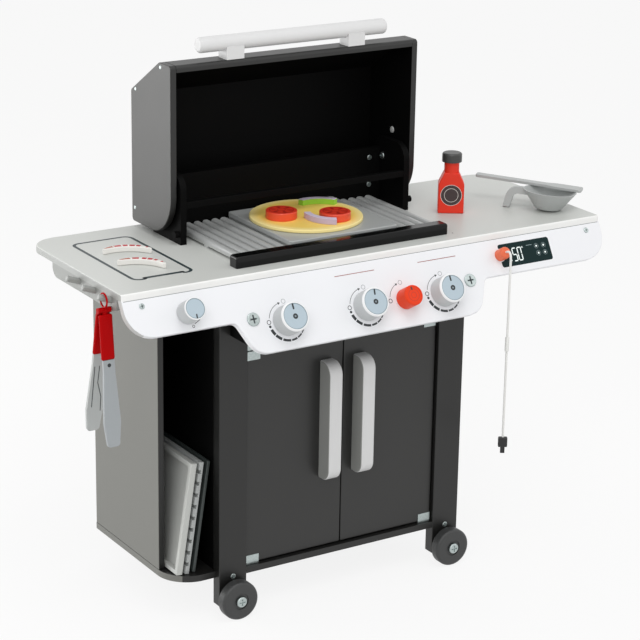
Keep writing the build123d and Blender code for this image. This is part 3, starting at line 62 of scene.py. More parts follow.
ahead = np.array([np.sin(YAW) * np.cos(PITCH), np.cos(YAW) * np.cos(PITCH), -np.sin(PITCH)])
level = np.array([np.cos(YAW), -np.sin(YAW), 0.0])
upright = np.cross(level, ahead)
camera_turn = np.eye(4)
camera_turn[:3, 0] = np.cos(ROLL) * level + np.sin(ROLL) * upright
camera_turn[:3, 1] = np.cos(ROLL) * upright - np.sin(ROLL) * level
camera_turn[:3, 2] = -ahead
camera_turn[:3, 3] = placed(CAMERA_PLACE)
camera_data = bpy.data.cameras.new("camera")
camera_data.sensor_width = 36.0
camera_data.lens = 125.8
camera_data.clip_end = 50.0
camera = bpy.data.objects.new("camera", camera_data)
bpy.context.scene.collection.objects.link(camera)
camera.matrix_world = Matrix(camera_turn.tolist())
bpy.context.scene.camera = camera
bpy.context.scene.view_settings.view_transform = "Standard"


def hex_colour(text):
    """An sRGB hex colour as linear red, green, blue and alpha, by undoing the sRGB curve."""
    parts = np.array([int(text[start : start + 2], 16) for start in (1, 3, 5)]) / 255
    linear = np.where(parts <= 0.04045, parts / 12.92, ((parts + 0.055) / 1.055) ** 2.4)
    return (*linear.tolist(), 1.0)


def add(tree, kind, inputs=None, **settings):
    """One shader node with its settings, its inputs set to values or linked from other sockets."""
    made = tree.nodes.new("ShaderNode" + kind)
    for name, value in settings.items():
        setattr(made, name, value)
    for name, value in (inputs or {}).items():
        if isinstance(value, bpy.types.NodeSocket):
            tree.links.new(value, made.inputs[name])
        else:
            made.inputs[name].default_value = value
    return made


# The probe's lead is limp white PVC of 4.2 mm. It leaves the plug square to its face, turns down, and
# hangs straight from there under the weight of its connector.
LEAD_WIDTH = 4.2
LEAD_ROUTE = [
    (760.4, -34.803, 617.72),
    (760.4, -40.865, 621.22),
    (759.15, -47.759, 620.005),
    (757.9, -52.258, 614.642),
    (757.9, -52.258, 607.64),
    (757.9, -52.258, 267.0),
]

lead_curve = bpy.data.curves.new("probe_lead", "CURVE")
lead_curve.dimensions = "3D"
lead_curve.bevel_depth = 1.0
lead_curve.bevel_resolution = 5
lead_curve.resolution_u = 16
lead_line = lead_curve.splines.new("NURBS")
lead_line.points.add(len(LEAD_ROUTE) - 1)
lead_line.points.foreach_set("co", np.c_[placed(LEAD_ROUTE), np.ones(len(LEAD_ROUTE))].ravel())
lead_line.points.foreach_set("radius", np.full(len(LEAD_ROUTE), LEAD_WIDTH / 2000))
lead_line.order_u = 3
lead_line.use_endpoint_u = True
lead = bpy.data.objects.new("probe_lead", lead_curve)
bpy.context.scene.collection.objects.link(lead)
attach(lead, "probe")
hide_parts("probe_cord")


def moulded(name, colour, roughness, texture_mm=0.8, relief_mm=0.012, uneven=0.04, ior=1.5):
    """Moulded plastic is one colour right through, with the fine spark-eroded texture of its mould: noise
    of a real size. Larger noise makes the sheen uneven, as flow in the mould does."""
    material = bpy.data.materials.new(name)
    material.use_nodes = True
    tree = material.node_tree
    shader = tree.nodes["Principled BSDF"]
    where = add(tree, "TexCoord").outputs["Object"]
    flow = add(tree, "TexNoise", {"Vector": where, "Scale": 1000 / 35, "Detail": 2.0}).outputs["Fac"]
    grit = add(tree, "TexNoise", {"Vector": where, "Scale": 1000 / texture_mm}).outputs["Fac"]
    sheen = {"Value": flow, "To Min": roughness - uneven, "To Max": roughness + uneven}
    tree.links.new(add(tree, "MapRange", sheen).outputs["Result"], shader.inputs["Roughness"])
    relief = add(tree, "Bump", {"Height": grit, "Strength": 0.6, "Distance": relief_mm / 1000})
    tree.links.new(relief.outputs["Normal"], shader.inputs["Normal"])
    shader.inputs["Base Color"].default_value = hex_colour(colour)
    shader.inputs["IOR"].default_value = ior
    return material


def dress(names, *materials):
    """Gives CAD nodes their materials, with the first of them on every face."""
    for name in names.split():
        mesh = nodes[name].data
        mesh.materials.clear()
        for material in materials:
            mesh.materials.append(material)
        mesh.polygons.foreach_set("material_index", np.zeros(len(mesh.polygons), np.int32))


def face_places(name):
    """The middles of a node's faces in millimetres from the counter's corner, and their normals."""
    mesh = nodes[name].data
    middles, normals = np.empty((2, 3 * len(mesh.polygons)))
    mesh.polygons.foreach_get("center", middles)
    mesh.polygons.foreach_get("normal", normals)
    return (middles.reshape(-1, 3) - CORNER) * 1000, normals.reshape(-1, 3)


def paint_faces(name, number, chosen):
    """Gives the chosen faces of a node its material of that number."""
    mesh = nodes[name].data
    numbers = np.empty(len(mesh.polygons), np.int32)
    mesh.polygons.foreach_get("material_index", numbers)
    numbers[chosen] = number
    mesh.polygons.foreach_set("material_index", numbers)


# Soft PVC is smooth and a little waxy. The plug is glossy orange ABS, the connector black ABS.
soft_pvc = moulded("white_soft_pvc", "#EFEFEC", 0.42, relief_mm=0.004)
lead_curve.materials.append(soft_pvc)
dress("probe_sleeve", soft_pvc)
dress("probe_plug", moulded("orange_abs", "#EC7350", 0.34, ior=1.3))
dress("probe_connector", moulded("black_abs", "#1B1B1C", 0.4))

# The studio has a pale floor that keeps the grill's soft shadow, a white surround, and square soft
# lamps: at the front left, above, at the right and behind the left side.
FLOOR_REACH = 12000
LAMPS = {
    "front_left": ((-1500, -1900, 2300), 1500, 19.0),
    "above": ((300, -900, 2900), 1400, 17.0),
    "right": ((2600, -1300, 1700), 1400, 5.0),
    "left_side": ((-1700, 2100, 700), 2000, 45.0),
}
LAMP_AIM = (460, 100, 500)


def white_to_the_eye(tree):
    """1 where the camera, a reflection or glass looks straight at it, and 0 for the light it gives."""
    ray = add(tree, "LightPath").outputs
    seen = add(tree, "Math", {0: ray["Is Camera Ray"], 1: ray["Is Glossy Ray"]}, operation="MAXIMUM")
    rays = {0: seen.outputs[0], 1: ray["Is Transmission Ray"]}
    return add(tree, "Math", rays, operation="MAXIMUM").outputs[0]


floor_corners = FLOOR_REACH * np.array([(-1, -1, 0), (1, -1, 0), (1, 1, 0), (-1, 1, 0)])
floor_mesh = bpy.data.meshes.new("studio_floor")
floor_mesh.from_pydata(placed(floor_corners).tolist(), [], [(0, 1, 2, 3)])
studio_floor = bpy.data.objects.new("studio_floor", floor_mesh)
bpy.context.scene.collection.objects.link(studio_floor)
floor_paper = bpy.data.materials.new("pale_studio_paper")
floor_paper.use_nodes = True
tree = floor_paper.node_tree
tree.nodes.clear()
share = add(tree, "Math", {0: white_to_the_eye(tree), 1: 0.86}, operation="MULTIPLY")
matt = add(tree, "BsdfDiffuse", {"Color": hex_colour("#F2F2F1")})
glow = add(tree, "Emission", {"Color": (1, 1, 1, 1), "Strength": 1.0})
paper = add(tree, "MixShader", {0: share.outputs[0], 1: matt.outputs[0], 2: glow.outputs[0]})
add(tree, "OutputMaterial", {"Surface": paper.outputs[0]})
floor_mesh.materials.append(floor_paper)

surround = bpy.data.worlds.new("white_surround")
bpy.context.scene.world = surround
surround.use_nodes = True
tree = surround.node_tree
tree.nodes.clear()
strength = add(tree, "MapRange", {"Value": white_to_the_eye(tree), "To Min": 0.6, "To Max": 1.0})
white = add(tree, "Background", {"Color": (1, 1, 1, 1), "Strength": strength.outputs["Result"]})
add(tree, "OutputWorld", {"Surface": white.outputs[0]})

for name, (spot, width, watts) in LAMPS.items():
    lamp_data = bpy.data.lights.new("soft_lamp_" + name, "AREA")
    lamp_data.shape = "SQUARE"
    lamp_data.size = width / 1000
    lamp_data.energy = watts
    lamp = bpy.data.objects.new("soft_lamp_" + name, lamp_data)
    bpy.context.scene.collection.objects.link(lamp)
    beam = Vector((placed(LAMP_AIM) - placed(spot)).tolist())
    turn = beam.to_track_quat("-Z", "Y").to_matrix().to_4x4()
    lamp.matrix_world = Matrix.Translation(placed(spot).tolist()) @ turn


# The carcass is fibreboard, sprayed satin black: base board, cabinet sides and back, posts, firebox and
# hood. The lacquer lies in a faint orange peel. Where a board is seen flat, a lighter grey copy of it is a
# painted reflection of the white room.
def lacquered(name, colour, roughness, peel_mm=2.4, relief_mm=0.01, tint=0.03, ior=1.5):
    """Sprayed lacquer on fibreboard: noise of the peel's size for the relief, and larger noise for a
    slightly uneven tone and sheen."""
    material = bpy.data.materials.new(name)
    material.use_nodes = True
    tree = material.node_tree
    shader = tree.nodes["Principled BSDF"]
    where = add(tree, "TexCoord").outputs["Object"]
    cloud = add(tree, "TexNoise", {"Vector": where, "Scale": 1000 / 90, "Detail": 3.0}).outputs["Fac"]
    peel = add(tree, "TexNoise", {"Vector": where, "Scale": 1000 / peel_mm, "Detail": 1.0}).outputs["Fac"]
    tone = np.array(hex_colour(colour))
    lighter = (*(tone[:3] * (1 + tint)).tolist(), 1.0)
    darker = (*(tone[:3] * (1 - tint)).tolist(), 1.0)
    mixed = add(tree, "Mix", {0: cloud, 6: darker, 7: lighter}, data_type="RGBA")
    tree.links.new(mixed.outputs[2], shader.inputs["Base Color"])
    sheen = {"Value": cloud, "To Min": roughness - 0.04, "To Max": roughness + 0.04}
    tree.links.new(add(tree, "MapRange", sheen).outputs["Result"], shader.inputs["Roughness"])
    relief = add(tree, "Bump", {"Height": peel, "Strength": 0.5, "Distance": relief_mm / 1000})
    tree.links.new(relief.outputs["Normal"], shader.inputs["Normal"])
    shader.inputs["IOR"].default_value = ior
    return material


satin_black = lacquered("satin_black_lacquer", "#1A1A19", 0.4)
# A deeper, duller black for faces inside the hood and cabinet, and for the battens, plates and firebox:
# painted shade.
painted_shade_black = lacquered("black_lacquer_painted_shade", "#070707", 0.6, ior=1.15)
# Lighter grey copies of the black for the flat outer sides: a painted reflection of the white room.
painted_reflection_black = lacquered("black_lacquer_painted_side_reflection", "#74746F", 0.42)
hood_painted_reflection = lacquered("black_hood_lacquer_painted_side_reflection", "#363634", 0.42)
dress("base_board posts door_header", satin_black, painted_reflection_black)
dress("back_panel lid_top_panel lid_slope_panel lid_back_panel lid_front_lip", satin_black, painted_shade_black)
dress("inner_battens support_plates firebox_boards", painted_shade_black, painted_reflection_black)
dress("side_panels", painted_shade_black, painted_reflection_black, satin_black)
dress("lid_cheeks", painted_shade_black, hood_painted_reflection, satin_black)

# The outer sides get a painted reflection of the room in lighter grey, the insides of the hood and cabinet
# painted shade in a deeper black.
HOOD_MIDDLE, CABINET_MIDDLE = np.array([465.0, 230.0, 860.0]), np.array([360.0, 170.0, 350.0])
middles, normals = face_places("base_board")
paint_faces("base_board", 1, np.abs(normals[:, 0]) > 0.6)
for name in ("side_panels", "lid_cheeks"):
    middles, normals = face_places(name)
    left_end, right_end = middles[:, 0].min(), middles[:, 0].max()
    outside = (middles[:, 0] < left_end + 1) | (middles[:, 0] > right_end - 1)
    paint_faces(name, 2, np.abs(normals[:, 0]) < 0.7)
    paint_faces(name, 1, outside & (np.abs(normals[:, 0]) > 0.7))
for name in ("lid_top_panel", "lid_slope_panel", "lid_back_panel", "lid_front_lip"):
    middles, normals = face_places(name)
    paint_faces(name, 1, ((HOOD_MIDDLE - middles) * normals).sum(1) > 0)
middles, normals = face_places("back_panel")
paint_faces("back_panel", 1, ((CABINET_MIDDLE - middles) * normals).sum(1) > 0)

# The wheels are moulded in dark grey polypropylene, and turn on zinc-plated steel axle bolts. Zinc plate
# is a bluish white metal with a faintly mottled sheen.
dress("wheel_left wheel_right", moulded("dark_grey_polypropylene", "#3A3B3B", 0.46))

zinc_plate = bpy.data.materials.new("bright_zinc_plate")
zinc_plate.use_nodes = True
tree = zinc_plate.node_tree
shader = tree.nodes["Principled BSDF"]
shader.inputs["Metallic"].default_value = 1.0
where = add(tree, "TexCoord").outputs["Object"]
mottle = add(tree, "TexNoise", {"Vector": where, "Scale": 1000 / 3.0, "Detail": 3.0}).outputs["Fac"]
cast = {0: mottle, 6: hex_colour("#98A3A3"), 7: hex_colour("#C9D2D0")}
tree.links.new(add(tree, "Mix", cast, data_type="RGBA").outputs[2], shader.inputs["Base Color"])
sheen = {"Value": mottle, "To Min": 0.26, "To Max": 0.42}
tree.links.new(add(tree, "MapRange", sheen).outputs["Result"], shader.inputs["Roughness"])
dress("wheel_axles cross_head_screws panel_cam_bolts lid_pivot_bolts door_hinge_fixings", zinc_plate)
dress("left_door_hinge_plates right_door_hinge_plates", zinc_plate)

# Both doors are the same black board as the carcass, with solid block handles sprayed silver, and a
# black magnet catch behind them. The doors' black is a little lighter than the carcass's: painted
# reflection.
silver_lacquer = lacquered("silver_grey_lacquer", "#DCDCDC", 0.4, tint=0.015)
silver_shade = lacquered("shaded_silver_lacquer", "#989996", 0.45, tint=0.015)
dress("left_door right_door", lacquered("black_door_lacquer_painted_reflection", "#272726", 0.36))
dress("left_door_handle right_door_handle", silver_lacquer, silver_shade)
dress("lid_handle_bar lid_handle_standoffs", silver_lacquer, silver_shade)
# The handles' left faces get the darker silver: painted shade.
for name in ("left_door_handle", "right_door_handle"):
    middles, normals = face_places(name)
    paint_faces(name, 1, normals[:, 0] < -0.75)
dress("magnet_catch", moulded("black_catch_nylon", "#202122", 0.5))

# The countertop is fibreboard with a warm grey lacquer on top and a nearly white one on its edges. A
# chopping board is screen printed on its left end: a rounded outline with a step and a thick front line.
dress(
    "countertop",
    lacquered("warm_grey_lacquer", "#CFD1CD", 0.42, tint=0.012),
    lacquered("white_edge_lacquer", "#F8F8F6", 0.4, tint=0.01),
    lacquered("white_edge_lacquer_in_shade", "#A9ABA8", 0.45, tint=0.01),
)
middles, normals = face_places("countertop")
paint_faces("countertop", 1, (normals[:, 2] < 0.92) & (normals[:, 1] < -0.3))
# The counter's left end gets a darker grey copy of its lacquer: painted shade.
paint_faces("countertop", 2, normals[:, 0] < -0.85)


def screen_ink(name, colour, roughness=0.45, glow=0.0):
    """Screen printed ink: an even film with a slight satin, a little thinner in places where the mesh of
    the screen lets less through."""
    material = moulded(name, colour, roughness, texture_mm=0.6, relief_mm=0.004)
    tree = material.node_tree
    shader = tree.nodes["Principled BSDF"]
    where = add(tree, "TexCoord").outputs["Object"]
    film = add(tree, "TexNoise", {"Vector": where, "Scale": 1000 / 4.0, "Detail": 2.0}).outputs["Fac"]
    tone = np.array(hex_colour(colour))
    thin = (*(tone[:3] * 0.88 + 0.012).tolist(), 1.0)
    mixed = add(tree, "Mix", {0: film, 6: hex_colour(colour), 7: thin}, data_type="RGBA")
    tree.links.new(mixed.outputs[2], shader.inputs["Base Color"])
    if glow:
        shader.inputs["Emission Color"].default_value = hex_colour(colour)
        shader.inputs["Emission Strength"].default_value = glow
    return material


def surface_piece(name, grids, body, material, outward=None, smooth=False):
    """A mesh from grids of points in millimetres: a quad between each four neighbours, turned to face the
    given direction, or closed and turned outward as a shell, with its double points merged."""
    points, quads, count = [], [], 0
    for grid in grids:
        rows, columns = grid.shape[:2]
        first = count + np.arange((rows - 1) * columns).reshape(rows - 1, columns)[:, :-1]
        faces = np.stack([first, first + 1, first + columns + 1, first + columns], -1).reshape(-1, 4)
        along, across = grid[:-1, 1:] - grid[:-1, :-1], grid[1:, :-1] - grid[:-1, :-1]
        if outward is not None and np.cross(along, across).reshape(-1, 3).sum(0) @ outward < 0:
            faces = faces[:, ::-1]
        points.append(grid.reshape(-1, 3))
        quads.append(faces)
        count += rows * columns
    mesh = bpy.data.meshes.new(name)
    mesh.from_pydata(placed(np.concatenate(points)).tolist(), [], np.concatenate(quads).tolist())
    shell = bmesh.new()
    shell.from_mesh(mesh)
    bmesh.ops.remove_doubles(shell, verts=shell.verts, dist=2e-6)
    if outward is None:
        bmesh.ops.recalc_face_normals(shell, faces=shell.faces)
    shell.to_mesh(mesh)
    shell.free()
    mesh.polygons.foreach_set("use_smooth", np.full(len(mesh.polygons), smooth))
    mesh.materials.append(material)
    piece = bpy.data.objects.new(name, mesh)
    bpy.context.scene.collection.objects.link(piece)
    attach(piece, body)
    return piece


def line(route, widths):
    """A printed line: the route's points, moved half the width to each side along the route's normal, and
    closed by half a circle at each end."""
    route = np.asarray(route, float)
    widths = np.broadcast_to(widths, len(route)).astype(float)
    tangents = np.gradient(route, axis=0)
    tangents /= np.linalg.norm(tangents, axis=1)[:, None]
    bend = np.sin(np.linspace(-np.pi / 2, 0, 6))[:-1, None]
    start = route[0] + bend * widths[0] / 2 * tangents[0]
    end = route[-1] - bend[::-1] * widths[-1] / 2 * tangents[-1]
    narrow = np.sqrt(1 - bend[:, 0] ** 2)
    middle = np.concatenate([start, route, end])
    half = np.concatenate([narrow * widths[0], widths, narrow[::-1] * widths[-1]]) / 2
    along = np.concatenate([np.repeat(tangents[:1], 5, 0), tangents, np.repeat(tangents[-1:], 5, 0)])
    sideways = np.stack([-along[:, 1], along[:, 0]], -1) * half[:, None]
    return np.stack([middle - sideways, middle + sideways], 1)


def arc(centre, radius, start, end, count=24):
    """Points on a circle about a centre, from one angle in degrees to the other."""
    angles = np.radians(np.linspace(start, end, count))
    return np.asarray(centre) + radius * np.stack([np.cos(angles), np.sin(angles)], -1)


def ring(centre, inner, outer, count=40):
    """A flat ring between two radii about a centre, or a disc where the inner radius is 0."""
    return np.stack([arc(centre, inner, 0, 360, count), arc(centre, outer, 0, 360, count)], 1)


def printed(name, marks, surface, body, material, outward, lift=0.1):
    """Flat marks laid on a surface, a tenth of a millimetre above it."""
    return surface_piece(name, [surface(mark, lift) for mark in marks], body, material, outward)


def counter_place(marks, lift):
    """Points of the counter's top: x and y as they are, and the lift above the top."""
    return np.concatenate([marks, np.full((*marks.shape[:-1], 1), COUNTER_TOP + lift)], -1)


PRINT_LEFT, PRINT_RIGHT, PRINT_FRONT, PRINT_BACK, PRINT_ROUND = 57.5, 169.8, 60.0, 300.0, 14.0
STEP_LEFT, STEP_RIGHT, STEP_BACK = 78.7, 150.6, 65.5
teal_ink = screen_ink("dark_teal_screen_ink", "#1E3034")
low_left = (PRINT_LEFT + PRINT_ROUND, PRINT_FRONT + PRINT_ROUND)
low_right = (PRINT_RIGHT - PRINT_ROUND, PRINT_FRONT + PRINT_ROUND)
high_right = (PRINT_RIGHT - PRINT_ROUND, PRINT_BACK - PRINT_ROUND)
high_left = (PRINT_LEFT + PRINT_ROUND, PRINT_BACK - PRINT_ROUND)
outline = np.concatenate(
    [
        [(STEP_RIGHT, STEP_BACK), (STEP_RIGHT + 1, PRINT_FRONT + 0.5), (STEP_RIGHT + 3, PRINT_FRONT)],
        arc(low_right, PRINT_ROUND, -90, 0, 10),
        arc(high_right, PRINT_ROUND, 0, 90, 10),
        arc(high_left, PRINT_ROUND, 90, 180, 10),
        arc(low_left, PRINT_ROUND, 180, 270, 10),
        [(STEP_LEFT - 3, PRINT_FRONT), (STEP_LEFT - 1, PRINT_FRONT + 0.5), (STEP_LEFT, STEP_BACK)],
    ]
)
chopping_print = [line(outline, 6.0), line([(STEP_LEFT, STEP_BACK), (STEP_RIGHT, STEP_BACK)], 8.5)]
chopping_print.append(ring((690.0, 35.0), 0.0, 1.6))
UP = np.array([0.0, 0.0, 1.0])
printed("chopping_board_print", chopping_print, counter_place, "frame", teal_ink, UP)

# The control panel hangs from the counter's front edge and leans 30 degrees. It is white lacquered board,
# held by two zinc cam bolts, with dials screen printed round the knobs.
PANEL_LEAN = np.radians(30)
UNDERSIDE = 634.0
PANEL_NORMAL = np.array([0.0, -np.cos(PANEL_LEAN), np.sin(PANEL_LEAN)])
DOWN_PANEL = np.array([0.0, -np.sin(PANEL_LEAN), -np.cos(PANEL_LEAN)])


def panel_place(marks, lift):
    """Points of the panel's face: x, and the drop down its slope from the counter's underside, turned by
    the panel's lean and raised along its normal."""
    marks = np.asarray(marks, float)
    flat = marks[..., :1] * [1.0, 0.0, 0.0] + marks[..., 1:] * DOWN_PANEL
    return flat + [0.0, 0.0, UNDERSIDE] + lift * PANEL_NORMAL


dress(
    "control_panel",
    lacquered("white_panel_lacquer", "#F1F2F5", 0.34, tint=0.008),
    lacquered("white_panel_lacquer_painted_shade", "#C2C3C1", 0.42, tint=0.01),
)
middles, normals = face_places("control_panel")
# The panel's left end gets a grey copy of its white lacquer: painted shade.
paint_faces("control_panel", 1, (normals[:, 0] < -0.5) & (middles[:, 0] < 80))

BURNERS = {"left": 294.6, "middle": 457.5, "right": 620.4}
BURNER_DROP = 79.2
IGNITER_X = 539.0
SIDE_KNOB_SPOT = (113.5, 36.5)
DASHES = ((-153, 18, 5.4), (-131, 21, 5.0), (-104, 25, 4.2), (-79, 19, 3.4), (-58, 17, 2.6), (-41, 12, 2.0))


def dial(x, drop, radius, thin, hole, arrow, near_ring):
    """The marks round a knob, by angle from the panel's right: an open ring at the top, an arrow on a
    thin arc towards it, and a second ring where the arc starts. Also a place by angle and distance."""
    centre = np.array([x, drop])
    flip = np.array([1.0, -1.0])

    def at(angle, distance):
        turn = np.radians(angle)
        return centre + flip * distance * np.array([np.cos(turn), np.sin(turn)])

    route = centre + flip * arc((0, 0), thin, arrow + 7, hole, 20)
    head = np.stack([at(arrow + 8, thin - 2.4), at(arrow, thin), at(arrow + 8, thin + 2.4)])
    arrow_head = np.stack([np.stack([head[0], head[2]]), np.stack([head[1], head[1]])])
    dark = [line(route, 0.9), arrow_head, ring(at(near_ring, radius), 3.0, 4.1)]
    return dark, ring(at(arrow - 12, radius), 3.3, 4.2), at


dark_marks, pale_marks = [], []
for x in BURNERS.values():
    dark, pale, at = dial(x, BURNER_DROP, 34.3, 33.0, 163, 97, 176)
    dark_marks += dark + [ring(at(-171, 34.3), 0.0, 2.4, 16)]
    pale_marks.append(pale)
    for middle_angle, sweep, thickness in DASHES:
        angles = np.radians(np.linspace(middle_angle - sweep / 2, middle_angle + sweep / 2, 8))
        unit = np.stack([np.cos(angles), -np.sin(angles)], -1)
        band = [(34.3 + side * thickness / 2) * unit for side in (-1, 1)]
        dark_marks.append(np.stack(band, 1) + [x, BURNER_DROP])
dark, pale, at = dial(IGNITER_X, BURNER_DROP, 31.0, 31.0, 164, 106, 177.5)
dark_marks += dark
pale_marks.append(pale)
side_turns = np.radians([-65, -37, -77])
side_reach = np.array([22.0, 24.8, 24.7])[:, None]
side_marks = SIDE_KNOB_SPOT + side_reach * np.stack([np.cos(side_turns), -np.sin(side_turns)], -1)
dark_marks += [ring(side_marks[2], 1.6, 2.5), line(side_marks[:2], 1.0)]
dial_ink = screen_ink("dark_dial_screen_ink", "#262B2E")
pale_ink = screen_ink("grey_dial_screen_ink", "#A8ABAE")
red_ink = screen_ink("brick_red_screen_ink", "#9A4A3E")
printed("dial_marks", dark_marks, panel_place, "frame", dial_ink, PANEL_NORMAL)
printed("dial_rings", pale_marks, panel_place, "frame", pale_ink, PANEL_NORMAL, 0.12)
CAM_BOLTS = ((232.15, 66.9), (682.85, 66.9))
END_SCREWS = ((35.0, 12.5), (965.0, 12.5))
# The dark crosses on the cam bolts and end screws are painted shade in their cross recesses.
crosses = []
for spots, reach, width in ((CAM_BOLTS, 6.6, 2.4), (END_SCREWS, 2.6, 1.1)):
    for x, drop in spots:
        crosses.append(line([(x - 0.7 * reach, drop), (x + 0.7 * reach, drop)], width))
        crosses.append(line([(x, drop - reach), (x, drop + reach)], width))
painted_recess_shade = moulded("shadowed_cross_recess", "#3C4446", 0.5)
printed("cam_bolt_crosses", crosses[:4], panel_place, "frame", painted_recess_shade, PANEL_NORMAL, 2.55)
printed("end_screw_crosses", crosses[4:], panel_place, "frame", painted_recess_shade, PANEL_NORMAL, 1.85)
# A thin grey line along the panel's top edge is painted shade in its seam under the counter.
seam = [line([(4.0, 0.6), (996.0, 0.6)], 1.0)]
printed("panel_seam", seam, panel_place, "frame", screen_ink("shadow_grey_seam", "#8D9092"), PANEL_NORMAL)
red_lines = [line([(409.7, 18.5), (491.0, 18.5)], 1.2), line([(584.0, 18.5), (665.4, 18.5)], 1.2)]
printed("zone_lines", red_lines, panel_place, "frame", red_ink, PANEL_NORMAL)

# The knobs are moulded in pale grey ABS with a white rim and a sunk, bluish grey face. The igniter is
# red ABS. Each pointer is a dark inlay near the rim of the face.
knob_grey = moulded("pale_grey_abs", "#C4C7C8", 0.36)
knob_white = moulded("white_abs", "#F4F5F6", 0.32)
knob_face = moulded("blue_grey_abs", "#B6C6D0", 0.34)
knob_outline = moulded("steel_blue_abs", "#8496A0", 0.36)
knob_red = moulded("red_abs", "#EA4420", 0.36, ior=1.25)
# A deeper red for rings on the igniter's face: painted shade in its grooves.
groove_shade_red = moulded("red_abs_painted_groove_shade", "#C9301F", 0.36)
inlay = moulded("black_inlay", "#22282B", 0.4)
KNOBS = {
    "side_knob": (*SIDE_KNOB_SPOT, 33.0, 17.5, -92, 16.6, 10.6, 2.6),
    "burner_knob_left": (BURNERS["left"], BURNER_DROP, 34.0, 23.0, 90, 21.0, 13.5, 3.2),
    "burner_knob_middle": (BURNERS["middle"], BURNER_DROP, 34.0, 23.0, 82, 21.0, 13.5, 3.2),
    "burner_knob_right": (BURNERS["right"], BURNER_DROP, 34.0, 23.0, 91, 21.0, 13.5, 3.2),
    "igniter_knob": (IGNITER_X, BURNER_DROP, 31.0, 15.0, 97, 17.0, 10.5, 2.8),
}
FACE_SINK = 0.8

for name, (x, drop, length, face, pointer, far, near, width) in KNOBS.items():
    red = name == "igniter_knob"
    dress(name, *((knob_red, knob_red, knob_red) if red else (knob_grey, knob_white, knob_face)))
    middles, normals = face_places(name)
    from_axis = middles - panel_place(np.array([x, drop]), 0.0)
    lift = from_axis @ PANEL_NORMAL
    away = np.linalg.norm(from_axis - lift[:, None] * PANEL_NORMAL, axis=1)
    paint_faces(name, 1, (lift > length - 3.2) & (away > face - 0.5))
    paint_faces(name, 2, (np.abs(lift - length + FACE_SINK) < 0.1) & (away < face))
    centre = np.array([x, drop])
    toward = np.array([np.cos(np.radians(pointer)), -np.sin(np.radians(pointer))])
    marks = [line([centre + near * toward, centre + min(far, face - 0.6) * toward], width)]
    sunk = length - FACE_SINK
    if red:
        rings = [ring(centre, 10.2, 11.2), ring(centre, 4.6, 5.6)]
        printed(name + "_grooves", rings, panel_place, name, groove_shade_red, PANEL_NORMAL, sunk + 0.08)
    else:
        rim_ring = [ring(centre, face - 1.3, face - 0.05)]
        printed(name + "_outline", rim_ring, panel_place, name, knob_outline, PANEL_NORMAL, sunk + 0.08)
        if name != "side_knob":
            marks += [ring(centre, 1.5, 4.8), ring(centre, 0.0, 0.8)]
    printed(name + "_pointer", marks, panel_place, name, inlay, PANEL_NORMAL, sunk + 0.12)

# The thermometer is a dark tinted acrylic window. Its digits, bar and four spots are lit from behind.
dress("thermometer_panel", moulded("dark_teal_acrylic", "#182C2D", 0.2, uneven=0.02, ior=1.15))
lit_white = screen_ink("white_lit_digits", "#EAF4F2", 0.3, glow=0.25)
lit_grey = screen_ink("dim_lit_marks", "#8FA3A6", 0.3)
DIGIT_TOP, DIGIT_MIDDLE, DIGIT_FOOT = 22.6, 34.6, 46.4


def digit(left, right, lit):
    """A seven-bar digit: the bars named by letters round from the top, with g across the middle."""
    ends = {
        "a": ((left, DIGIT_TOP), (right, DIGIT_TOP)),
        "b": ((right, DIGIT_TOP), (right, DIGIT_MIDDLE)),
        "c": ((right, DIGIT_MIDDLE), (right, DIGIT_FOOT)),
        "d": ((left, DIGIT_FOOT), (right, DIGIT_FOOT)),
        "e": ((left, DIGIT_MIDDLE), (left, DIGIT_FOOT)),
        "f": ((left, DIGIT_TOP), (left, DIGIT_MIDDLE)),
        "g": ((left, DIGIT_MIDDLE), (right, DIGIT_MIDDLE)),
    }
    bars = []
    for letter in lit:
        start, end = np.array(ends[letter])
        gap = 1.5 * (end - start) / np.linalg.norm(end - start)
        bars.append(line([start + gap, end - gap], 2.1))
    return bars


digits = digit(776.0, 783.4, "bc") + digit(789.6, 797.4, "acdfg") + digit(801.0, 808.8, "abcdef")
digits.append(ring((812.6, 23.0), 0.9, 1.7, 20))
spots = [(844.9, 25.4), (860.9, 25.8), (846.2, 39.0), (861.0, 39.2)]
digits += [ring(spot, 0.0, 1.9, 16) for spot in spots]
printed("display_digits", digits, panel_place, "frame", lit_white, PANEL_NORMAL, 0.3)
dim_marks = [line([(823.0, 21.6), (835.0, 21.6)], 1.0)] + [ring(spot, 4.2, 4.7) for spot in spots]
printed("display_marks", dim_marks, panel_place, "frame", lit_grey, PANEL_NORMAL, 0.3)

# The peg rail under the counter's left end is grey lacquered board, its mid grey partly painted shade of the
# dim left side. The tongs hang on its pegs by their
# ring: red ABS grips over grey nylon blades. The front one has a dark rivet, the back one two slots.
dress("peg_rail", lacquered("grey_lacquer_with_painted_shade", "#989A97", 0.42))
tongs_red = moulded("red_grip_abs", "#B00508", 0.36, ior=1.15)
utensil_grey = moulded("grey_nylon", "#B6B9B8", 0.44, texture_mm=0.9, relief_mm=0.02)
dress("tongs_front_grip tongs_back_grip", tongs_red)
dress("tongs_front_blade", moulded("blue_grey_nylon", "#A0A5A8", 0.42))
dress("tongs_back_blade spatula bowl", utensil_grey)
TONGS_HINGE = np.array([-13.0, 37.0, 612.1])
FRONT_ARM_LEAN, BACK_ARM_LEAN = np.radians([-5.9, 11.1])
RIVET_DOWN, SLOTS_DOWN = 93.0, 150.0


def turned(profile, centre, across, upward, outward, count=32):
    """A profile of radius and height turned once round an axis: every angle by every point of it."""
    profile = np.asarray(profile, float)
    angles = np.linspace(0, 2 * np.pi, count)
    spin = np.cos(angles)[:, None] * across + np.sin(angles)[:, None] * upward
    return centre + profile[None, :, :1] * spin[:, None] + profile[None, :, 1:] * outward


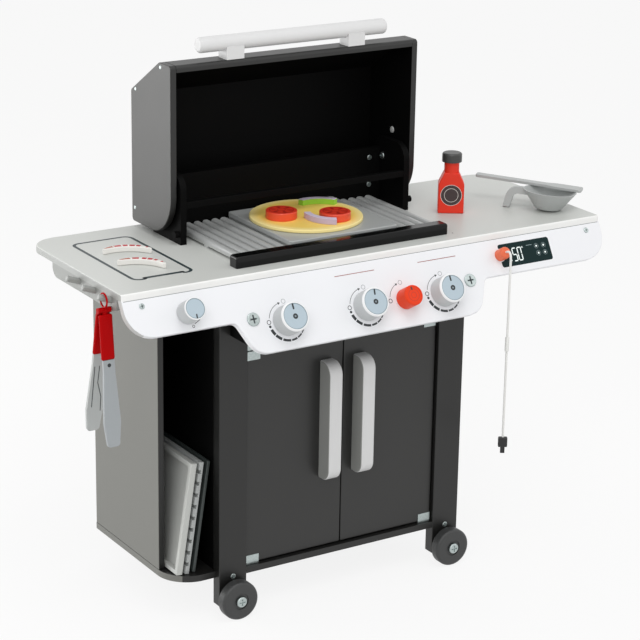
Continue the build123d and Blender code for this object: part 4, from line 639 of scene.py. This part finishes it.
def blade_side(name, lean, middle, reach):
    """The way down a hanging blade, the way out of its front face, and that face's distance from the
    hinge, looked for within a reach of a point down the blade."""
    down = np.array([0.0, np.sin(lean), -np.cos(lean)])
    out = np.array([0.0, -np.cos(lean), -np.sin(lean)])
    middles, normals = face_places(name)
    from_hinge = middles - TONGS_HINGE
    facing = (normals @ out > 0.9) & (abs(from_hinge @ down - middle) < reach)
    return down, out, (from_hinge[facing] @ out).max()


arm_down, arm_out, blade_face = blade_side("tongs_front_blade", FRONT_ARM_LEAN, RIVET_DOWN, 60)
rivet_centre = TONGS_HINGE + RIVET_DOWN * arm_down + blade_face * arm_out
RIVET = [(0.0, 0.7), (2.4, 0.55), (3.4, 0.0), (3.4, -0.8), (0.0, -0.8)]
EAST = np.array([1.0, 0.0, 0.0])
rivet = [turned(RIVET, rivet_centre, EAST, -arm_down, arm_out)]
surface_piece("tongs_rivet", rivet, "tongs_front", inlay, smooth=True)

back_down, back_out, back_face = blade_side("tongs_back_blade", BACK_ARM_LEAN, SLOTS_DOWN, 80)


def back_blade_place(marks, lift):
    """Points of the back blade's inner face: across from the hinge's middle, and down the blade."""
    route = marks[..., :1] * EAST + marks[..., 1:] * back_down
    return TONGS_HINGE + route + (back_face + lift) * back_out


# The back blade's two slots are flat dark marks: painted shade in the slots.
slots = [line([(-7.0, 108.0), (-7.0, 186.0)], 1.6)]
slots.append(line([(2.0, 108.0), (1.0, 140.0), (9.0, 168.0), (10.0, 196.0)], 1.6))
painted_slot_shade = screen_ink("dark_slot_shade", "#3C4042")
printed("tongs_back_slots", slots, back_blade_place, "tongs_back", painted_slot_shade, back_out)

# A rail of gloss black board stands in front of the grate. The hood's two cheeks turn on zinc bolts, with
# grey glide pads inside them and small bright screws that hold the panels to them.
dress("front_rail", lacquered("gloss_black_lacquer", "#090A0A", 0.14, relief_mm=0.004, ior=1.33))
pad_nylon = moulded("grey_nylon_pad", "#B9BBBA", 0.5)
PAD = [(0.0, 2.0), (5.0, 2.0), (5.7, 1.7), (6.0, 1.0), (6.0, 0.0), (0.0, 0.0)]
SCREW = [(0.0, 1.0), (0.8, 0.35), (1.5, 0.9), (2.6, 0.65), (3.3, 0.25), (3.5, 0.0), (3.5, -0.5)]
SCREW.append((0.0, -0.5))
CHEEK_SCREWS = ((246.2, 312.2), (339.4, 256.1), (345.3, 36.9))
NORTH = np.array([0.0, 1.0, 0.0])
for side, inner, outer in ((1, 219.5, 207.5), (-1, 710.5, 722.5)):
    hand = "left" if side > 0 else "right"
    pad_centre = np.array([inner, 267.0, COUNTER_TOP + 140.0])
    pad = [turned(PAD, pad_centre, NORTH, UP, side * EAST)]
    surface_piece(f"glide_pad_{hand}", pad, "lid", pad_nylon, smooth=True)
    heads = [np.array([outer, y, COUNTER_TOP + z]) for y, z in CHEEK_SCREWS]
    screws = [turned(SCREW, head, NORTH, UP, -side * EAST, 20) for head in heads]
    surface_piece(f"cheek_screws_{hand}", screws, "lid", zinc_plate, smooth=True)

# The grate, griddle and spare parts are grey ABS. The griddle has a smoother face than the grate.
dress("grill_grate", moulded("grey_abs", "#B2B4B3", 0.34))
dress("griddle_tray spare_grate", moulded("smooth_grey_abs", "#AFB2B1", 0.3, relief_mm=0.006))

# The pizza is a painted wooden disc: warm yellow with a paler rim. The toppings are painted wood too.
PIZZA_CENTRE = (466.0, 177.0)


def painted_wood(name, colour, roughness=0.5, grain_mm=1.4, rim=None, centre=(0, 0), rim_mm=(0, 1)):
    """Paint on beech: noise stretched along the grain shows through as faint relief and tone, and a rim
    colour may fade in over a range of distances from a centre."""
    material = bpy.data.materials.new(name)
    material.use_nodes = True
    tree = material.node_tree
    shader = tree.nodes["Principled BSDF"]
    where = add(tree, "TexCoord").outputs["Object"]
    long_way = add(tree, "Mapping", {"Vector": where, "Scale": (0.12, 1.0, 1.0)}).outputs["Vector"]
    noise = {"Vector": long_way, "Scale": 1000 / grain_mm, "Detail": 3.0}
    grain = add(tree, "TexNoise", noise).outputs["Fac"]
    tone = np.array(hex_colour(colour))
    darker = (*(tone[:3] * 0.93).tolist(), 1.0)
    face = add(tree, "Mix", {0: grain, 6: hex_colour(colour), 7: darker}, data_type="RGBA").outputs[2]
    if rim:
        middle = placed((*centre, 0.0))
        offset = (-middle[0], -middle[1], 0.0)
        moved = add(tree, "Mapping", {"Vector": where, "Location": offset, "Scale": (1.0, 1.0, 0.0)})
        away = add(tree, "VectorMath", {0: moved.outputs[0]}, operation="LENGTH").outputs["Value"]
        fade = {"Value": away, "From Min": rim_mm[0] / 1000, "From Max": rim_mm[1] / 1000}
        share = add(tree, "MapRange", fade).outputs["Result"]
        face = add(tree, "Mix", {0: share, 6: face, 7: hex_colour(rim)}, data_type="RGBA").outputs[2]
    tree.links.new(face, shader.inputs["Base Color"])
    relief = add(tree, "Bump", {"Height": grain, "Strength": 0.4, "Distance": 0.00004})
    tree.links.new(relief.outputs["Normal"], shader.inputs["Normal"])
    shader.inputs["Roughness"].default_value = roughness
    return material


pale_rim = {"rim": "#FFEBA0", "centre": PIZZA_CENTRE, "rim_mm": (84, 100)}
dress("pizza_base", painted_wood("yellow_wood_paint", "#FFDC6E", **pale_rim))
tomato_side = painted_wood("tomato_skin_paint", "#EE5230", 0.34)
tomato_top = painted_wood("tomato_flesh_paint", "#DD3A25", 0.36)
pepper_side = painted_wood("pepper_flesh_paint", "#97D53F", 0.4)
pepper_top = painted_wood("pepper_skin_paint", "#23863A", 0.4)
onion_side = painted_wood("onion_flesh_paint", "#C9B7D3", 0.45)
onion_top = painted_wood("onion_edge_paint", "#DCD0E4", 0.45)
dress("pizza_toppings", tomato_side, tomato_top, pepper_side, pepper_top, onion_side, onion_top)
TOMATOES = ((415.0, 178.7), (495.8, 126.8))
PEPPER_MIDDLE = (502.0, 182.0)
TOMATO_REACH = 29.5
STRIPS_TOP = 41.0
middles, normals = face_places("pizza_toppings")
from_tomato = np.min([np.hypot(*(middles[:, :2] - spot).T) for spot in TOMATOES], axis=0)
from_pepper = middles[:, :2] - PEPPER_MIDDLE
tomato = from_tomato < TOMATO_REACH
low = middles[:, 2] < COUNTER_TOP + STRIPS_TOP
pepper = ~tomato & low & (from_pepper[:, 1] > 5) & (np.hypot(*from_pepper.T) > 44)
onion = ~tomato & ~pepper
flat = normals[:, 2] > 0.7
outer_skin = (from_pepper * normals[:, :2]).sum(1) > 10
paint_faces("pizza_toppings", 1, tomato & flat)
paint_faces("pizza_toppings", 2, pepper)
paint_faces("pizza_toppings", 3, pepper & (flat | outer_skin))
paint_faces("pizza_toppings", 4, onion)
paint_faces("pizza_toppings", 5, onion & flat)

TOMATO_TOP = 45.8
tomato_dark = painted_wood("tomato_line_paint", "#A81A12", 0.36)
cuts = []
for x, y in TOMATOES:
    cuts += [ring((x, y), 21.0, 22.6), ring((x, y), 6.6, 7.8)]
    for angle in np.radians([20, 80, 140, 200, 260, 320]):
        spoke = np.array([np.cos(angle), np.sin(angle)])
        cuts.append(line([spoke * 11.5 + (x, y), spoke * 17.5 + (x, y)], [4.4, 6.4]))
printed("tomato_cuts", cuts, counter_place, "pizza", tomato_dark, UP, TOMATO_TOP + 0.1)

# Two crescents of painted white wood lie on the chopping board. Red bars cross their arched edge, the
# first of them burnt orange.
FOOD = {"food_piece_back": ((116.8, 201.6), -24.0), "food_piece_front": ((102.0, 121.6), -40.0)}
BARS = {
    "food_piece_back": ((0.02, 0.19), (0.22, 0.37), (0.41, 0.52), (0.56, 0.68), (0.71, 0.80), (0.90, 0.94)),
    "food_piece_front": ((0.03, 0.21), (0.25, 0.39), (0.46, 0.56), (0.59, 0.70), (0.74, 0.81), (0.90, 0.94)),
}
FOOD_LENGTH, FOOD_DEPTH, FOOD_HOLLOW, FOOD_TIP, FOOD_TOP = 88.5, 26.0, 13.0, 7.0, 10.3
dress("food_piece_back food_piece_front", painted_wood("white_wood_paint", "#F1EFEA", 0.45))
bar_paint = painted_wood("bright_red_paint", "#C4202A", 0.45)
burnt_paint = painted_wood("burnt_orange_paint", "#B5502C", 0.45)
arch_radius = (FOOD_LENGTH**2 / 4 + FOOD_DEPTH**2) / (2 * FOOD_DEPTH)
hollow_radius = ((FOOD_LENGTH / 2 - FOOD_TIP) ** 2 + FOOD_HOLLOW**2) / (2 * FOOD_HOLLOW)
arch_centre = np.array([0.0, FOOD_DEPTH - arch_radius])
hollow_below = arch_centre[1] - (FOOD_HOLLOW - hollow_radius)
for name, (spot, turn) in FOOD.items():
    cosine, sine = np.cos(np.radians(turn)), np.sin(np.radians(turn))
    bars = []
    for start, end in BARS[name]:
        across = np.linspace(start - 0.5, end - 0.5, 8) * FOOD_LENGTH
        angles = np.arccos(np.clip(across / arch_radius, -1, 1))
        unit = np.stack([np.cos(angles), np.sin(angles)], -1)
        rise = hollow_below * unit[:, 1]
        hollow = np.sqrt(rise**2 - hollow_below**2 + hollow_radius**2) - rise
        above_front = (2.3 - arch_centre[1]) / unit[:, 1]
        inner = np.minimum(np.maximum(hollow + 2.1, above_front), arch_radius - 2.5)
        outer = np.full(8, arch_radius - 2.1)
        band = arch_centre + np.stack([inner[:, None] * unit, outer[:, None] * unit], 1)
        bars.append(band @ np.array([[cosine, sine], [-sine, cosine]]) + spot)
    body = "food_back" if name.endswith("back") else "food_front"
    printed(name + "_bars", bars[1:], counter_place, body, bar_paint, UP, FOOD_TOP + 0.1)
    printed(name + "_first_bar", bars[:1], counter_place, body, burnt_paint, UP, FOOD_TOP + 0.1)

# The sauce bottle is red polyethylene with a black screw cap. Its round label is a plain dark disc with a
# pale ring, and carries no words.
dress("bottle", moulded("red_polyethylene", "#E83824", 0.36, ior=1.35))
dress("bottle_cap", moulded("black_cap_abs", "#3B3B3A", 0.38))
BOTTLE_SPOT, BOTTLE_TURN = (769.0, 154.0), np.radians(-32.5)
BOTTLE_HALF_DEPTH, LABEL_HEIGHT = 14.0, 35.3
label_right = np.array([np.cos(BOTTLE_TURN), np.sin(BOTTLE_TURN), 0.0])
label_out = np.array([np.sin(BOTTLE_TURN), -np.cos(BOTTLE_TURN), 0.0])
label_centre = np.array([*BOTTLE_SPOT, COUNTER_TOP + LABEL_HEIGHT]) + BOTTLE_HALF_DEPTH * label_out


def label_place(marks, lift):
    """Points of the bottle's front face: to its right, and up, from the label's middle."""
    return label_centre + marks[..., :1] * label_right + marks[..., 1:] * UP + lift * label_out


label_dark = screen_ink("dark_label_ink", "#3A2A2A")
label_pale = screen_ink("pale_label_ink", "#E4DCD4")
printed("bottle_label", [ring((0, 0), 0.0, 19.2)], label_place, "bottle", label_dark, label_out)
rings = [ring((0, 0), 19.2, 20.0), ring((0, 0), 12.4, 13.2)]
printed("bottle_label_rings", rings, label_place, "bottle", label_pale, label_out, 0.15)

# Three spare parts lean in the left bay: a pale tray, a grey slotted grate and a dark plate.
dress("spare_tray", moulded("pale_grey_abs_tray", "#C4C6C2", 0.4))
dress("spare_plate", moulded("charcoal_abs", "#3A403F", 0.4))
